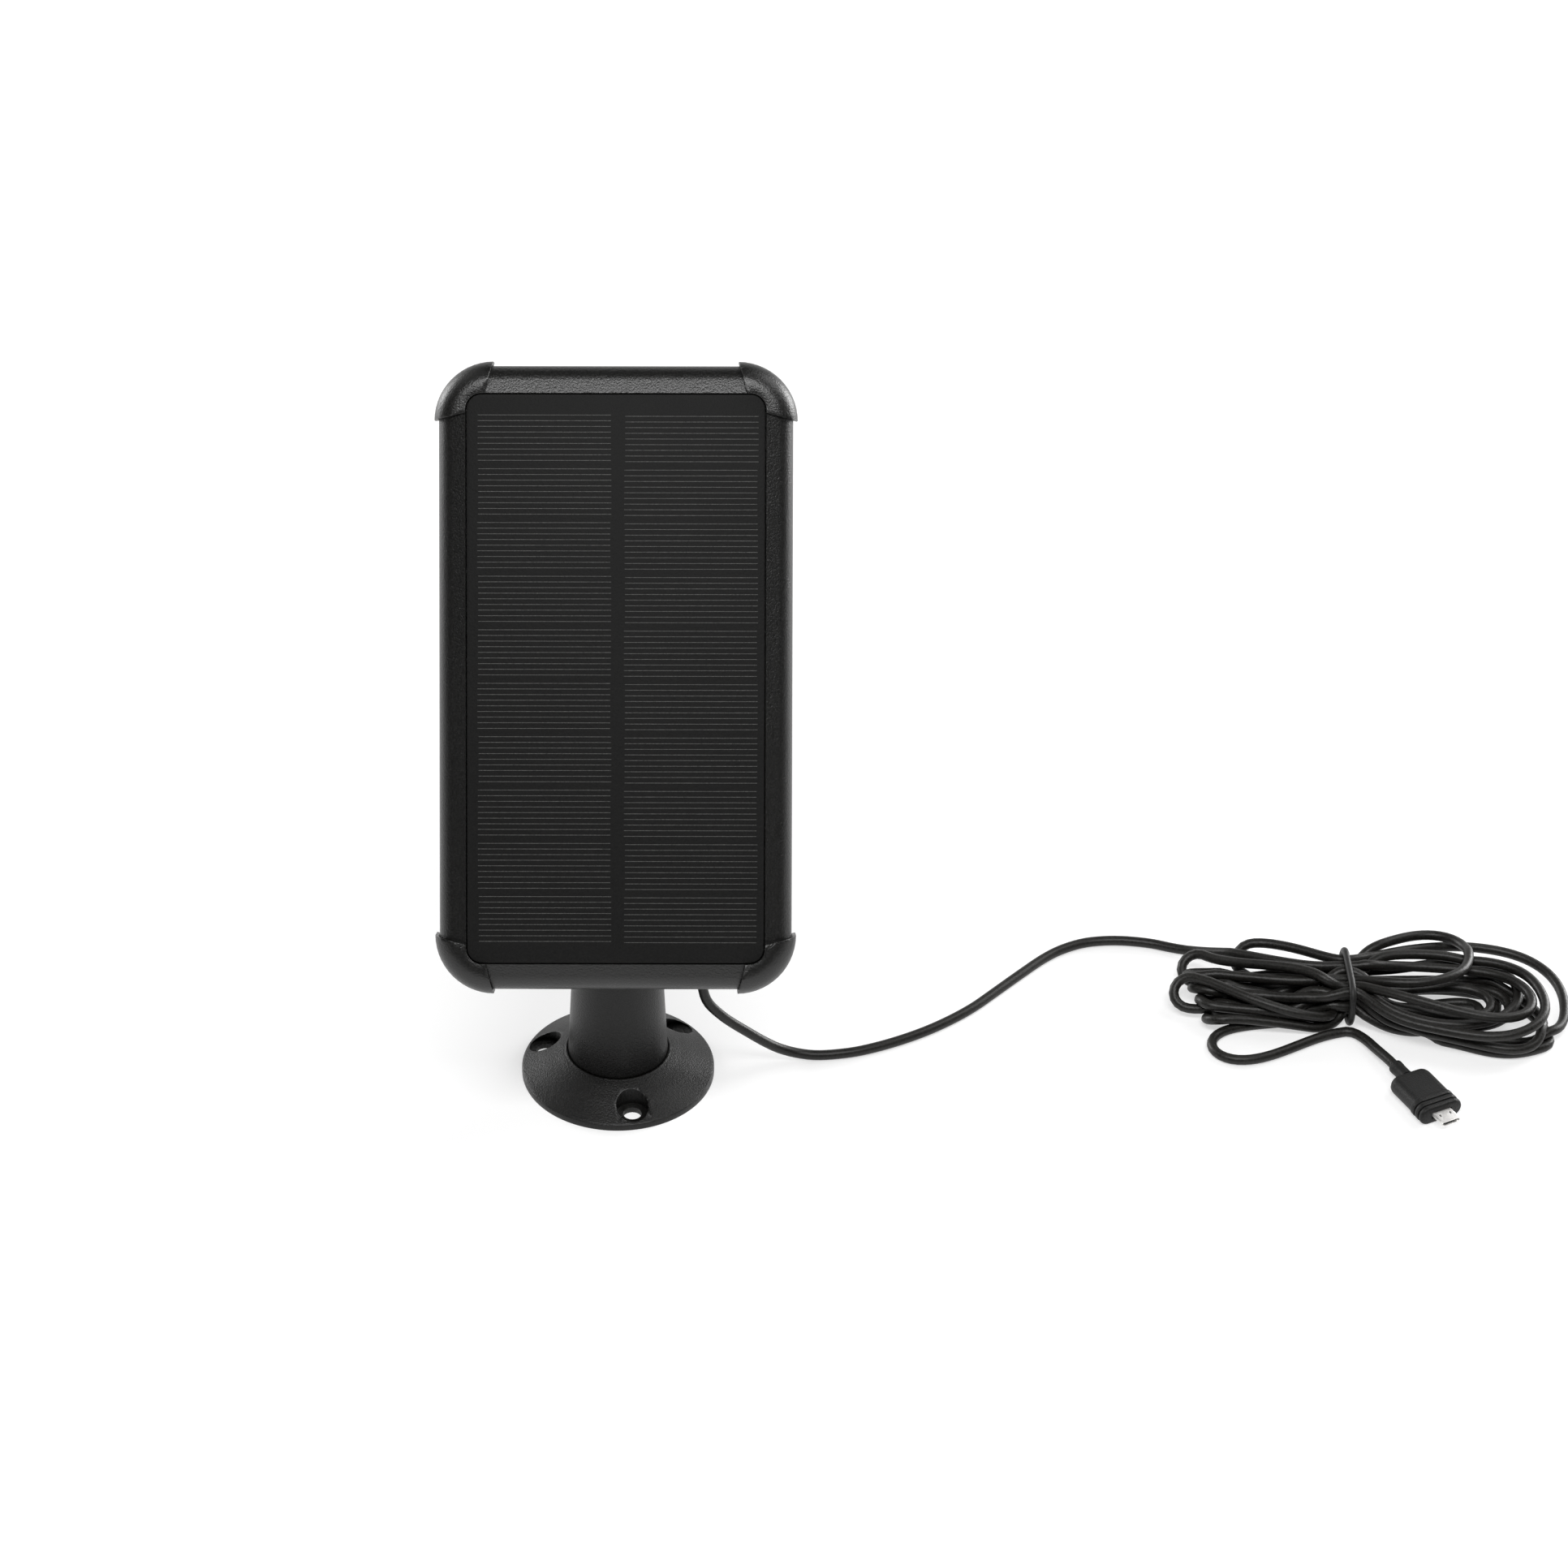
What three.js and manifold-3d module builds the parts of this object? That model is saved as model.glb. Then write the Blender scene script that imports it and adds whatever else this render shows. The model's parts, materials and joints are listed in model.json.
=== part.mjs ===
// Solar charging panel on a swivelling, tilting post, with its lead and plug.
// Millimetres. +X is the panel's right, +Y is behind it, +Z is up.
// The origin is the centre of the underside of the base flange.
import * as THREE from "three";
import { mergeVertices } from "three/addons/utils/BufferGeometryUtils.js";
import Module from "manifold-3d";

const wasm = await Module();
wasm.setup();

// ---------------------------------------------------------------- driving dimensions
const GAP = 0.3; // clearance between pieces that touch on the real object

// Solar laminate
const LAMINATE_WIDTH = 90.6;
const LAMINATE_HEIGHT = 173.2;
const LAMINATE_CORNER = 4.5;
const COVER_THICKNESS = 1.0;
const CELL_THICKNESS = 0.4;
const BACKING_THICKNESS = 1.6;
const CELL_COLUMN_GAP = 4.2;
const CELL_LEFT_MARGIN = 3.4;
const CELL_RIGHT_MARGIN = 2.2;
const CELL_TOP_MARGIN = 6.3;
const CELL_BOTTOM_MARGIN = 6.7;

// Panel housing
const RAIL_WIDTH = 8.7; // from the laminate's edge to the housing's outer side
const OUTER_CORNER = 16.8;
const FACET_DROP = 1.2; // fall of the rail's sloped front facet
const RAIL_ROUNDING = 6.2; // radius between the facet and the side wall
const PANEL_DEPTH = 22;
const PARTING_DEPTH = 14; // depth of the line where frame and rear housing meet
const WALL = 3.6;
const FLOOR = 2.0;
const LEDGE_WIDTH = 3; // shelf under the laminate's edge
const LEDGE_THICKNESS = 1.8;
const BACK_ROUNDING = 4;
const CAP_PROUD = 1.4; // corner caps stand this far out of the rail
const CAP_REACH = 18; // length of a cap along each rail
const CAP_SLANT = 2.4; // the cap's cut edge runs this much further at its outer end
const CAP_DEPTH = 17.7;
const GASKET_INSET = 1.1;
const GASKET_WIDTH = 1.4;
const GASKET_HEIGHT = 1.7;

// Housing screws and their bosses
const SCREW_SHANK = 1.25;
const SCREW_HEAD = 2.6;
const SCREW_HEAD_HEIGHT = 1.8;
const HOUSING_SCREW_INSET = 7.2;
const HOUSING_SCREW_END = 19.3; // from the upper and lower edges to the end screws
const HOUSING_BOSS = 4;
const HOUSING_BOSS_TOP = 3; // height of the rear housing's bosses over its floor

// Base flange
const FLANGE_RADIUS = 31;
const FLANGE_RIM = 2.4;
const FLANGE_HEIGHT = 9.4;
const FLANGE_CROWN = 17.1; // radius where the cone ends
const FIXING_COUNT = 3;
const FIXING_CIRCLE = 25; // radius of the circle of fixing holes
const FIXING_HOLE = 2.95;
const FIXING_COUNTERBORE = 5.15;
const FIXING_FLOOR = 2.0;
const FIXING_TURN = -79; // direction of the first hole, degrees from +X
const PIVOT_POCKET = 8;
const PIVOT_COVER_THICKNESS = 1.0;
const PIVOT_HEAD = 4.2;
const PIVOT_HEAD_HEIGHT = 1.6;
const PIVOT_SHANK = 2.0;
const PIVOT_DEPTH = 12; // length of the pivot screw inside the post
const WASHER_RADIUS = 6.5;
const WASHER_THICKNESS = 0.8;
const WEB_THICKNESS = 2;

// Post and its clevis
const FOOT_RADIUS = 16.15;
const FOOT_CLEARANCE = 0.45;
const SHOULDER_RADIUS = 14.1;
const SHOULDER_HEIGHT = 50;
const PIVOT_HEIGHT = 66; // height of the tilt axis
const EAR_RADIUS = 8;
const EAR_THICKNESS = 5;
const TONGUE_THICKNESS = 10;
const FRICTION_WASHER = 0.8;
const BOLT_RADIUS = 2.5;
const NUT_ACROSS_FLATS = 8;
const NUT_HEIGHT = 4;
const NUT_POCKET = 2.2;
const KNOB_RADIUS = 8.5;
const KNOB_LENGTH = 8.6;
const KNOB_LOBES = 6;
const KNOB_LOBE_DEPTH = 0.9;
const KNOB_FLOOR = 3; // thickness of the knob under the bolt's head
const BOLT_HEAD_HEIGHT = 3.6;
const BOLT_PAST_NUT = 2.4;

// Place of the panel on the tilt axis
const TILT = 31.5; // the panel's front looks up by this angle
const PIVOT_TO_FRONT = 40;
const EDGE_BELOW_PIVOT = 22.7; // from the axis down to the housing's lower edge
const BRACKET_THICKNESS = 3.7;
const BRACKET_WIDTH = 32;
const BRACKET_LOW = -11;
const BRACKET_HIGH = 26;
const BRACKET_CORNER = 4;
const BRACKET_SCREW_X = 11;
const BRACKET_SCREW_MARGIN = 5.5;
const BRACKET_BOSS = 3.4;
const BRACKET_BOSS_HEIGHT = 6; // over the rear housing's floor
const BRACKET_SCREW_LENGTH = 9.4;

// Charging electronics
const BOARD_WIDTH = 46;
const BOARD_HEIGHT = 28;
const BOARD_THICKNESS = 1.6;
const BOARD_ABOVE_PIVOT = 52.6; // from the axis up to the board's middle
const BOARD_STANDOFF = 3.7;
const BOARD_BOSS = 2.4;
const BOARD_SCREW_MARGIN = 4;
const BOARD_SCREW_SHANK = 1.0;
const BOARD_SCREW_HEAD = 1.9;
const BOARD_SCREW_HEAD_HEIGHT = 1.2;
const BOARD_SCREW_LENGTH = 5.6;
const INDUCTOR = { radius: 5, height: 4.5, at: [-12, 1] };
const CAPACITOR = { radius: 4, height: 8.2, at: [2, 7] };
const REGULATOR = { size: [5, 4.4, 1.4], at: [-1, -6] };
const DIODE = { size: [4.6, 2.8, 2.2], at: [-10, 9.5] };
const TERMINAL = { size: [8, 7, 5.5], at: [15, -8] };
const WIRE_RADIUS = 0.7;
const WIRE_ABOVE_BOARD = 30; // from the board's middle up to the joints on the laminate's back
const POSITIVE_WIRE_X = 11;
const NEGATIVE_WIRE_X = 16;

// Cable gland, lead and plug
const CORD_RADIUS = 1.65;
const CORD_SIDES = 8;
const GLAND_X = 24;
const GLAND_DROP = -12; // below the tilt axis, along the panel
const GLAND_LENGTH = 12;
const GLAND_FLANGE = 5.5;
const GLAND_TIP = 3.3;
const GLAND_THREAD = 3.7;
const GLAND_NUT_ACROSS_FLATS = 11;
const GLAND_NUT_HEIGHT = 3;
const HANK_HEIGHT = 16;
const TIE_RADIUS = 1.1;
const TIE_X = 238.8;
const WAIST_MIDDLE = 33.3; // place and width of the bundle under the tie
const WAIST_WIDTH = 24.6;
const WAIST_CORNER = 5;
const HANK_LOW = 0.1;
const HANK_BEVEL = 2;
const PLUG_PLACE = [253.5, -7.7];
const PLUG_HEADING = -63.8; // degrees from +X
const PLUG_WIDTH = 15.5;
const PLUG_THICKNESS = 6.5;
const PLUG_LENGTH = 19.5;
const PLUG_RIB_GROOVE = 0.6;
const PLUG_RIB = 1.2;
const PLUG_LIP = 3.6; // from the front rib's groove to the plug's front face
const PLUG_NECK_LENGTH = 7.2;
const PLUG_NECK_RADIUS = 2.4;
const SHELL_WIDTH = 6.85;
const SHELL_THICKNESS = 1.8;
const SHELL_LENGTH = 5.2;
const SHELL_WALL = 0.3;
const SHELL_BURIED = 5; // length of the metal shell inside the plug's body
const SHELL_CHAMFER = 0.8;
const TONGUE_WIDTH = 4.45;
const TONGUE_HEIGHT = 0.35;

// Lead from the gland down to the floor and across it to the hank: centre points
const LEAD_ROUTE = [
  [24.4, -5.8, 55.4], [25.1, -2.9, 49.5], [26.4, -2.4, 40.5], [28.3, -2.5, 30.5], [32.5, -1.7, 24.4],
  [36.5, -0.4, 19.8], [41.8, 1.2, 14.6], [47.1, 3, 9.4], [52.4, 4.8, 5], [58.7, 5.7, 2.3],
  [64.7, 5.6, 1.7], [75.6, 7.1, 1.7], [83.6, 9.8, 1.7], [91.5, 13.4, 1.7], [99.6, 17.9, 1.7],
  [107.7, 23.5, 1.7], [116, 30.5, 1.7], [124.2, 39.2, 1.7], [132.7, 48.4, 1.7],
  [141.4, 57.4, 1.7], [147.5, 62.2, 1.7], [155.1, 65.9, 1.7], [162.2, 67.2, 1.7], [167.6, 67.3, 1.7],
  [173, 66.7, 1.7], [178.3, 65.6, 1.7], [185.1, 62.8, 2], [190.9, 60, 3], [193.4, 58.5, 3.5],
];
// Short tail from the hank's waist to the plug's neck: the far point is worked out below
const TAIL_ROUTE = [[242.4, 14.2, 2.1], [245.5, 8.6, 2.5]];
// Outer shape of the hank in plan
const HANK_OUTLINE = [
  [179.8, 34.4], [183.3, 14.2], [200, 1.3], [221.2, 8.6], [238.5, 19.1], [259.3, 13], [281.1, 3.3], [301.1, 6.3],
  [311.7, 27.9], [298.2, 50.1], [270.4, 59.7], [239.1, 47.2], [213.3, 53.9], [191.8, 53.9],
];

// ---------------------------------------------------------------- worked-out sizes
const OUTER_WIDTH = LAMINATE_WIDTH + 2 * RAIL_WIDTH;
const OUTER_HEIGHT = LAMINATE_HEIGHT + 2 * RAIL_WIDTH;
const PIVOT_TO_CENTRE = OUTER_HEIGHT / 2 - EDGE_BELOW_PIVOT; // up to the laminate's middle
const BOARD_CENTRE = BOARD_ABOVE_PIVOT - PIVOT_TO_CENTRE; // from the laminate's middle
const FACET_SLOPE = Math.atan2(FACET_DROP, RAIL_WIDTH / 2);
const LEDGE_TOP = COVER_THICKNESS + CELL_THICKNESS + BACKING_THICKNESS + 3 * GAP;
const BACK_INSIDE = PANEL_DEPTH - FLOOR;
const HOUSING_TOP = PARTING_DEPTH + GAP;
const BACK_FROM_PIVOT = PIVOT_TO_FRONT - PANEL_DEPTH;
const EAR_INSIDE = TONGUE_THICKNESS / 2 + FRICTION_WASHER + 2 * GAP;
const EAR_OUTSIDE = EAR_INSIDE + EAR_THICKNESS;
const BOLT_HOLE = BOLT_RADIUS + GAP;
const PIVOT_WEB_UNDER = PIVOT_COVER_THICKNESS + PIVOT_HEAD_HEIGHT + WASHER_THICKNESS + 3 * GAP;
const RECESS_FLOOR = PIVOT_WEB_UNDER + WEB_THICKNESS;
const FOOT_BOTTOM = RECESS_FLOOR + GAP;
const RECESS_RADIUS = FOOT_RADIUS + FOOT_CLEARANCE;

// ---------------------------------------------------------------- materials
const blackPlastic = new THREE.MeshStandardMaterial({ color: 0x1c1c1d, roughness: 0.62, metalness: 0 });
const capPlastic = new THREE.MeshStandardMaterial({ color: 0x202021, roughness: 0.5, metalness: 0 });
const coverFilm = new THREE.MeshStandardMaterial({ color: 0x232325, roughness: 0.7, metalness: 0 });
const silicon = new THREE.MeshStandardMaterial({ color: 0x15151c, roughness: 0.35, metalness: 0.2 });
const glassFibre = new THREE.MeshStandardMaterial({ color: 0x1f5a35, roughness: 0.6, metalness: 0 });
const rubber = new THREE.MeshStandardMaterial({ color: 0x2b2b2b, roughness: 0.8, metalness: 0 });
const cordSkin = new THREE.MeshStandardMaterial({ color: 0x333332, roughness: 0.6, metalness: 0 });
const steel = new THREE.MeshStandardMaterial({ color: 0xb4b6b8, roughness: 0.35, metalness: 1 });
const nickel = new THREE.MeshStandardMaterial({ color: 0xdcdcda, roughness: 0.25, metalness: 1 });
const nylon = new THREE.MeshStandardMaterial({ color: 0xe4e2da, roughness: 0.6, metalness: 0 });
const redSkin = new THREE.MeshStandardMaterial({ color: 0xb02020, roughness: 0.6, metalness: 0 });

// ---------------------------------------------------------------- geometry helpers
const degrees = THREE.MathUtils.degToRad;

// Indexed positions only, faces turned outwards, with no collapsed triangles.
function cleaned(geometry) {
  const bare = new THREE.BufferGeometry();
  bare.setAttribute("position", geometry.attributes.position.clone());
  if (geometry.index) bare.setIndex(geometry.index.clone());
  const merged = mergeVertices(bare, 1e-4);
  const place = merged.attributes.position;
  const index = merged.index.array;
  const corners = [new THREE.Vector3(), new THREE.Vector3(), new THREE.Vector3()];
  const kept = [];
  let volume = 0;
  for (let i = 0; i < index.length; i += 3) {
    const [a, b, c] = [index[i], index[i + 1], index[i + 2]];
    if (a === b || b === c || c === a) continue;
    [a, b, c].forEach((vertex, n) => corners[n].fromBufferAttribute(place, vertex));
    volume += corners[0].dot(corners[1].clone().cross(corners[2]));
    kept.push(a, b, c);
  }
  if (volume < 0) kept.reverse();
  merged.setIndex(kept);
  return merged;
}

function toSolid(geometry) {
  const clean = cleaned(geometry);
  return new wasm.Manifold(new wasm.Mesh({
    numProp: 3,
    vertProperties: Float32Array.from(clean.attributes.position.array),
    triVerts: Uint32Array.from(clean.index.array),
  }));
}

function toGeometry(solid) {
  const mesh = solid.getMesh();
  const geometry = new THREE.BufferGeometry();
  geometry.setAttribute("position", new THREE.BufferAttribute(Float32Array.from(mesh.vertProperties), 3));
  geometry.setIndex(new THREE.BufferAttribute(Uint32Array.from(mesh.triVerts), 1));
  return geometry;
}

const cut = (body, ...tools) =>
  toGeometry(tools.reduce((solid, tool) => solid.subtract(toSolid(tool)), toSolid(body)));
const join = (body, ...others) =>
  toGeometry(others.reduce((solid, other) => solid.add(toSolid(other)), toSolid(body)));
const clip = (body, keep) => toGeometry(toSolid(body).intersect(toSolid(keep)));

// A solid of revolution about Z from [radius, height] pairs.
function lathe(profile, segments = 40) {
  const points = profile.map(([radius, height]) => new THREE.Vector2(radius, height));
  return new THREE.LatheGeometry(points, segments).rotateX(Math.PI / 2);
}

// A solid tube between two radii: the profile closes on itself.
function ring(inner, outer, low, high, segments = 24) {
  return lathe([[inner, low], [outer, low], [outer, high], [inner, high], [inner, low]], segments);
}

function cylinder(radius, low, high, segments = 24) {
  return lathe([[0, low], [radius, low], [radius, high], [0, high]], segments);
}

function box(x0, x1, y0, y1, z0, z1) {
  return new THREE.BoxGeometry(x1 - x0, y1 - y0, z1 - z0)
    .translate((x0 + x1) / 2, (y0 + y1) / 2, (z0 + z1) / 2);
}

function roundedRect(width, height, radius, steps = 5) {
  const points = [];
  const turns = [[1, 1, 0], [-1, 1, 1], [-1, -1, 2], [1, -1, 3]];
  for (const [sx, sy, quarter] of turns) {
    for (let i = 0; i <= steps; i++) {
      const angle = (quarter + i / steps) * Math.PI / 2;
      points.push([
        sx * (width / 2 - radius) + radius * Math.cos(angle),
        sy * (height / 2 - radius) + radius * Math.sin(angle),
      ]);
    }
  }
  return points;
}

function prism(outline, low, high) {
  const shape = new THREE.Shape(outline.map(([x, y]) => new THREE.Vector2(x, y)));
  return new THREE.ExtrudeGeometry(shape, { depth: high - low, bevelEnabled: false }).translate(0, 0, low);
}

const hexagon = (acrossFlats) =>
  Array.from({ length: 6 }, (_, i) => {
    const angle = (i + 0.5) * Math.PI / 3;
    const radius = acrossFlats / 2 / Math.cos(Math.PI / 6);
    return [radius * Math.cos(angle), radius * Math.sin(angle)];
  });

// A skin through loops of equal length. It closes on itself, or ends in flat caps.
function loft(loops, closesOnItself) {
  const count = loops[0].length;
  const index = [];
  const last = closesOnItself ? loops.length : loops.length - 1;
  for (let row = 0; row < last; row++) {
    const next = (row + 1) % loops.length;
    for (let i = 0; i < count; i++) {
      const j = (i + 1) % count;
      const [a, b, c, d] = [row * count + i, row * count + j, next * count + j, next * count + i];
      index.push(a, b, c, a, c, d);
    }
  }
  if (!closesOnItself) {
    const top = (loops.length - 1) * count;
    for (let i = 1; i < count - 1; i++) {
      index.push(0, i + 1, i, top, top + i, top + i + 1);
    }
  }
  const geometry = new THREE.BufferGeometry();
  geometry.setAttribute("position", new THREE.Float32BufferAttribute(loops.flat(2), 3));
  geometry.setIndex(index);
  return geometry;
}

// A loop around the panel, set in from its outer outline, at a depth behind its front.
function panelLoop(inset, depth) {
  const radius = OUTER_CORNER - inset;
  return roundedRect(OUTER_WIDTH - 2 * inset, OUTER_HEIGHT - 2 * inset, radius)
    .map(([x, y]) => [x, y, -depth]);
}

// A loop around the laminate, grown by a margin, at a depth behind the front.
function laminateLoop(margin, depth) {
  const radius = Math.max(LAMINATE_CORNER + margin, 1);
  return roundedRect(LAMINATE_WIDTH + 2 * margin, LAMINATE_HEIGHT + 2 * margin, radius)
    .map(([x, y]) => [x, y, -depth]);
}

// Loops over the rail's rounding, pushed out by a distance, from the side wall to the facet.
function railRounding(out, steps = 4) {
  const turn = Math.PI / 2 - FACET_SLOPE;
  const facetInset = RAIL_ROUNDING * (1 - Math.cos(turn));
  const facetLength = RAIL_WIDTH - facetInset;
  const centreDepth = facetLength * Math.tan(FACET_SLOPE) + RAIL_ROUNDING * Math.sin(turn);
  return Array.from({ length: steps + 1 }, (_, i) => {
    const angle = turn * i / steps;
    const radius = RAIL_ROUNDING + out;
    return panelLoop(RAIL_ROUNDING - radius * Math.cos(angle), centreDepth - radius * Math.sin(angle));
  });
}

// A round tube along points, closed at both ends.
function tube(points, radius, steps, sides = CORD_SIDES) {
  const places = points.map((p) => new THREE.Vector3(...p));
  const curve = new THREE.CatmullRomCurve3(places, false, "centripetal");
  const section = new THREE.Shape(Array.from({ length: sides }, (_, i) => {
    const angle = 2 * Math.PI * i / sides;
    return new THREE.Vector2(radius * Math.cos(angle), radius * Math.sin(angle));
  }));
  return new THREE.ExtrudeGeometry(section, { steps, extrudePath: curve, bevelEnabled: false });
}

// A pan-head or flat-head screw along Z: its head below, its shank above.
function screw(shank, head, headHeight, length) {
  return lathe([[0, 0], [head * 0.8, 0], [head, headHeight * 0.4], [head, headHeight],
    [shank, headHeight], [shank, length - shank], [0, length]], 12);
}

const object = new THREE.Group();

function place(name, geometry, material, parent = object) {
  const mesh = new THREE.Mesh(cleaned(geometry), material);
  mesh.name = name;
  parent.add(mesh);
  return mesh;
}

// ---------------------------------------------------------------- base
function baseFlange() {
  const profile = [
    [PIVOT_POCKET, 0], [FLANGE_RADIUS - 0.4, 0], [FLANGE_RADIUS, 0.4],
    [FLANGE_RADIUS, FLANGE_RIM - 0.3],
    [FLANGE_RADIUS - 0.4, FLANGE_RIM],
    [FLANGE_CROWN + 0.5, FLANGE_HEIGHT - 0.3], [FLANGE_CROWN, FLANGE_HEIGHT],
    [RECESS_RADIUS, FLANGE_HEIGHT - 0.3], [RECESS_RADIUS, RECESS_FLOOR], [PIVOT_SHANK + 0.8, RECESS_FLOOR],
    [PIVOT_SHANK + 0.8, PIVOT_WEB_UNDER], [PIVOT_POCKET, PIVOT_WEB_UNDER], [PIVOT_POCKET, 0],
  ];
  const holes = [];
  for (let i = 0; i < FIXING_COUNT; i++) {
    const angle = degrees(FIXING_TURN + 360 * i / FIXING_COUNT);
    const [x, y] = [FIXING_CIRCLE * Math.cos(angle), FIXING_CIRCLE * Math.sin(angle)];
    holes.push(cylinder(FIXING_COUNTERBORE, FIXING_FLOOR, FLANGE_HEIGHT + 1, 20).translate(x, y, 0));
    holes.push(cylinder(FIXING_HOLE, -1, FLANGE_HEIGHT, 14).translate(x, y, 0));
  }
  return cut(lathe(profile, 48), ...holes);
}

function buildBase() {
  place("base_flange", baseFlange(), blackPlastic);
  place("pivot_cover", cylinder(PIVOT_POCKET - GAP, 0, PIVOT_COVER_THICKNESS), rubber);
  const washerLow = PIVOT_WEB_UNDER - GAP - WASHER_THICKNESS;
  const washer = ring(PIVOT_SHANK + GAP, WASHER_RADIUS, washerLow, washerLow + WASHER_THICKNESS);
  place("pivot_washer", washer, steel);
  const headLow = PIVOT_COVER_THICKNESS + GAP;
  const length = FOOT_BOTTOM + PIVOT_DEPTH - headLow;
  const pivotScrew = screw(PIVOT_SHANK, PIVOT_HEAD, PIVOT_HEAD_HEIGHT, length).translate(0, 0, headLow);
  place("pivot_screw", pivotScrew, steel);
}

// ---------------------------------------------------------------- post and clamp
// Turns a shape drawn along Z so that it runs along X at the tilt axis.
const ontoTiltAxis = (geometry) => geometry.rotateY(Math.PI / 2).translate(0, 0, PIVOT_HEIGHT);

function ear(side) {
  const shape = new THREE.Shape();
  shape.moveTo(-EAR_RADIUS, SHOULDER_HEIGHT - PIVOT_HEIGHT - 3);
  shape.lineTo(EAR_RADIUS, SHOULDER_HEIGHT - PIVOT_HEIGHT - 3);
  shape.lineTo(EAR_RADIUS, 0);
  shape.absarc(0, 0, EAR_RADIUS, 0, Math.PI, false);
  const settings = { depth: EAR_THICKNESS, bevelEnabled: false, curveSegments: 10 };
  const plate = new THREE.ExtrudeGeometry(shape, settings);
  plate.rotateX(Math.PI / 2).rotateZ(Math.PI / 2);
  return plate.translate(side > 0 ? EAR_INSIDE : -EAR_OUTSIDE, 0, PIVOT_HEIGHT);
}

function mountPost() {
  const column = lathe([
    [0, FOOT_BOTTOM], [FOOT_RADIUS - 0.3, FOOT_BOTTOM], [FOOT_RADIUS, FOOT_BOTTOM + 0.3],
    [SHOULDER_RADIUS, SHOULDER_HEIGHT - 1], [SHOULDER_RADIUS - 0.4, SHOULDER_HEIGHT + 0.6],
    [SHOULDER_RADIUS - 1.4, SHOULDER_HEIGHT + 1.8], [SHOULDER_RADIUS - 3.2, SHOULDER_HEIGHT + 2.6],
    [0, SHOULDER_HEIGHT + 3],
  ]);
  const bore = ontoTiltAxis(cylinder(BOLT_HOLE, -EAR_OUTSIDE - 1, EAR_OUTSIDE + 1, 16));
  const nutOutline = hexagon(NUT_ACROSS_FLATS + 2 * GAP);
  const pocket = ontoTiltAxis(prism(nutOutline, -EAR_OUTSIDE - 1, -EAR_OUTSIDE + NUT_POCKET));
  const screwHole = cylinder(PIVOT_SHANK + GAP, FOOT_BOTTOM - 1, FOOT_BOTTOM + PIVOT_DEPTH + 1, 12);
  return cut(join(column, ear(1), ear(-1)), bore, pocket, screwHole);
}

function clampKnob() {
  const outline = Array.from({ length: 8 * KNOB_LOBES }, (_, i) => {
    const angle = 2 * Math.PI * i / (8 * KNOB_LOBES);
    const radius = KNOB_RADIUS - KNOB_LOBE_DEPTH / 2 + KNOB_LOBE_DEPTH / 2 * Math.cos(KNOB_LOBES * angle);
    return [radius * Math.cos(angle), radius * Math.sin(angle)];
  });
  const low = EAR_OUTSIDE + GAP;
  const grip = prism(outline, low, low + KNOB_LENGTH);
  const bore = cylinder(BOLT_HOLE, low - 1, low + KNOB_LENGTH, 16);
  const socket = prism(hexagon(NUT_ACROSS_FLATS + 2 * GAP), low + KNOB_FLOOR, low + KNOB_LENGTH + 1);
  return ontoTiltAxis(cut(grip, bore, socket));
}

function clampBolt() {
  const headLow = EAR_OUTSIDE + GAP + KNOB_FLOOR + GAP;
  const nutEnd = NUT_POCKET - GAP - NUT_HEIGHT - EAR_OUTSIDE;
  const shank = cylinder(BOLT_RADIUS, nutEnd - BOLT_PAST_NUT, headLow + 1, 16);
  return ontoTiltAxis(join(shank, prism(hexagon(NUT_ACROSS_FLATS), headLow, headLow + BOLT_HEAD_HEIGHT)));
}

function buildPost() {
  place("mount_post", mountPost(), blackPlastic);
  const nutLow = -EAR_OUTSIDE + NUT_POCKET - GAP - NUT_HEIGHT;
  const nut = cut(prism(hexagon(NUT_ACROSS_FLATS), nutLow, nutLow + NUT_HEIGHT),
    cylinder(BOLT_HOLE, nutLow - 1, nutLow + NUT_HEIGHT + 1, 16));
  place("clamp_nut", ontoTiltAxis(nut), steel);
  for (const [name, side] of [["left", -1], ["right", 1]]) {
    const half = FRICTION_WASHER / 2;
    const middle = side * (TONGUE_THICKNESS / 2 + GAP + half);
    const washer = ring(BOLT_HOLE, EAR_RADIUS - 1, middle - half, middle + half);
    place(`friction_washer_${name}`, ontoTiltAxis(washer), nylon);
  }
  place("clamp_knob", clampKnob(), blackPlastic);
  place("clamp_bolt", clampBolt(), steel);
}

// ---------------------------------------------------------------- panel
// The tilted group's Z is the panel's front normal and its Y runs up the panel.
const tilted = new THREE.Group();
tilted.position.set(0, 0, PIVOT_HEIGHT);
tilted.rotation.x = degrees(90 - TILT);
object.add(tilted);

// Origin at the middle of the laminate's front face: depths behind it are negative Z.
const panel = new THREE.Group();
panel.position.set(0, PIVOT_TO_CENTRE, PIVOT_TO_FRONT);
tilted.add(panel);

const onPivot = (y) => y - PIVOT_TO_CENTRE; // from the tilt axis to the panel's own Y
const housingScrews = [-1, 1].flatMap((side) => [-1, 0, 1].map((row) => [
  side * (OUTER_WIDTH / 2 - HOUSING_SCREW_INSET), row * (OUTER_HEIGHT / 2 - HOUSING_SCREW_END),
]));
const bracketScrews = [-1, 1].flatMap((side) => [
  [side * BRACKET_SCREW_X, onPivot(BRACKET_LOW + BRACKET_SCREW_MARGIN)],
  [side * BRACKET_SCREW_X, onPivot(BRACKET_HIGH - BRACKET_SCREW_MARGIN)],
]);
const boardScrews = [-1, 1].map((side) => [
  side * (BOARD_WIDTH / 2 - BOARD_SCREW_MARGIN),
  BOARD_CENTRE + side * (BOARD_HEIGHT / 2 - BOARD_SCREW_MARGIN),
]);
const glandPlace = [GLAND_X, onPivot(GLAND_DROP)];
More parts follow.
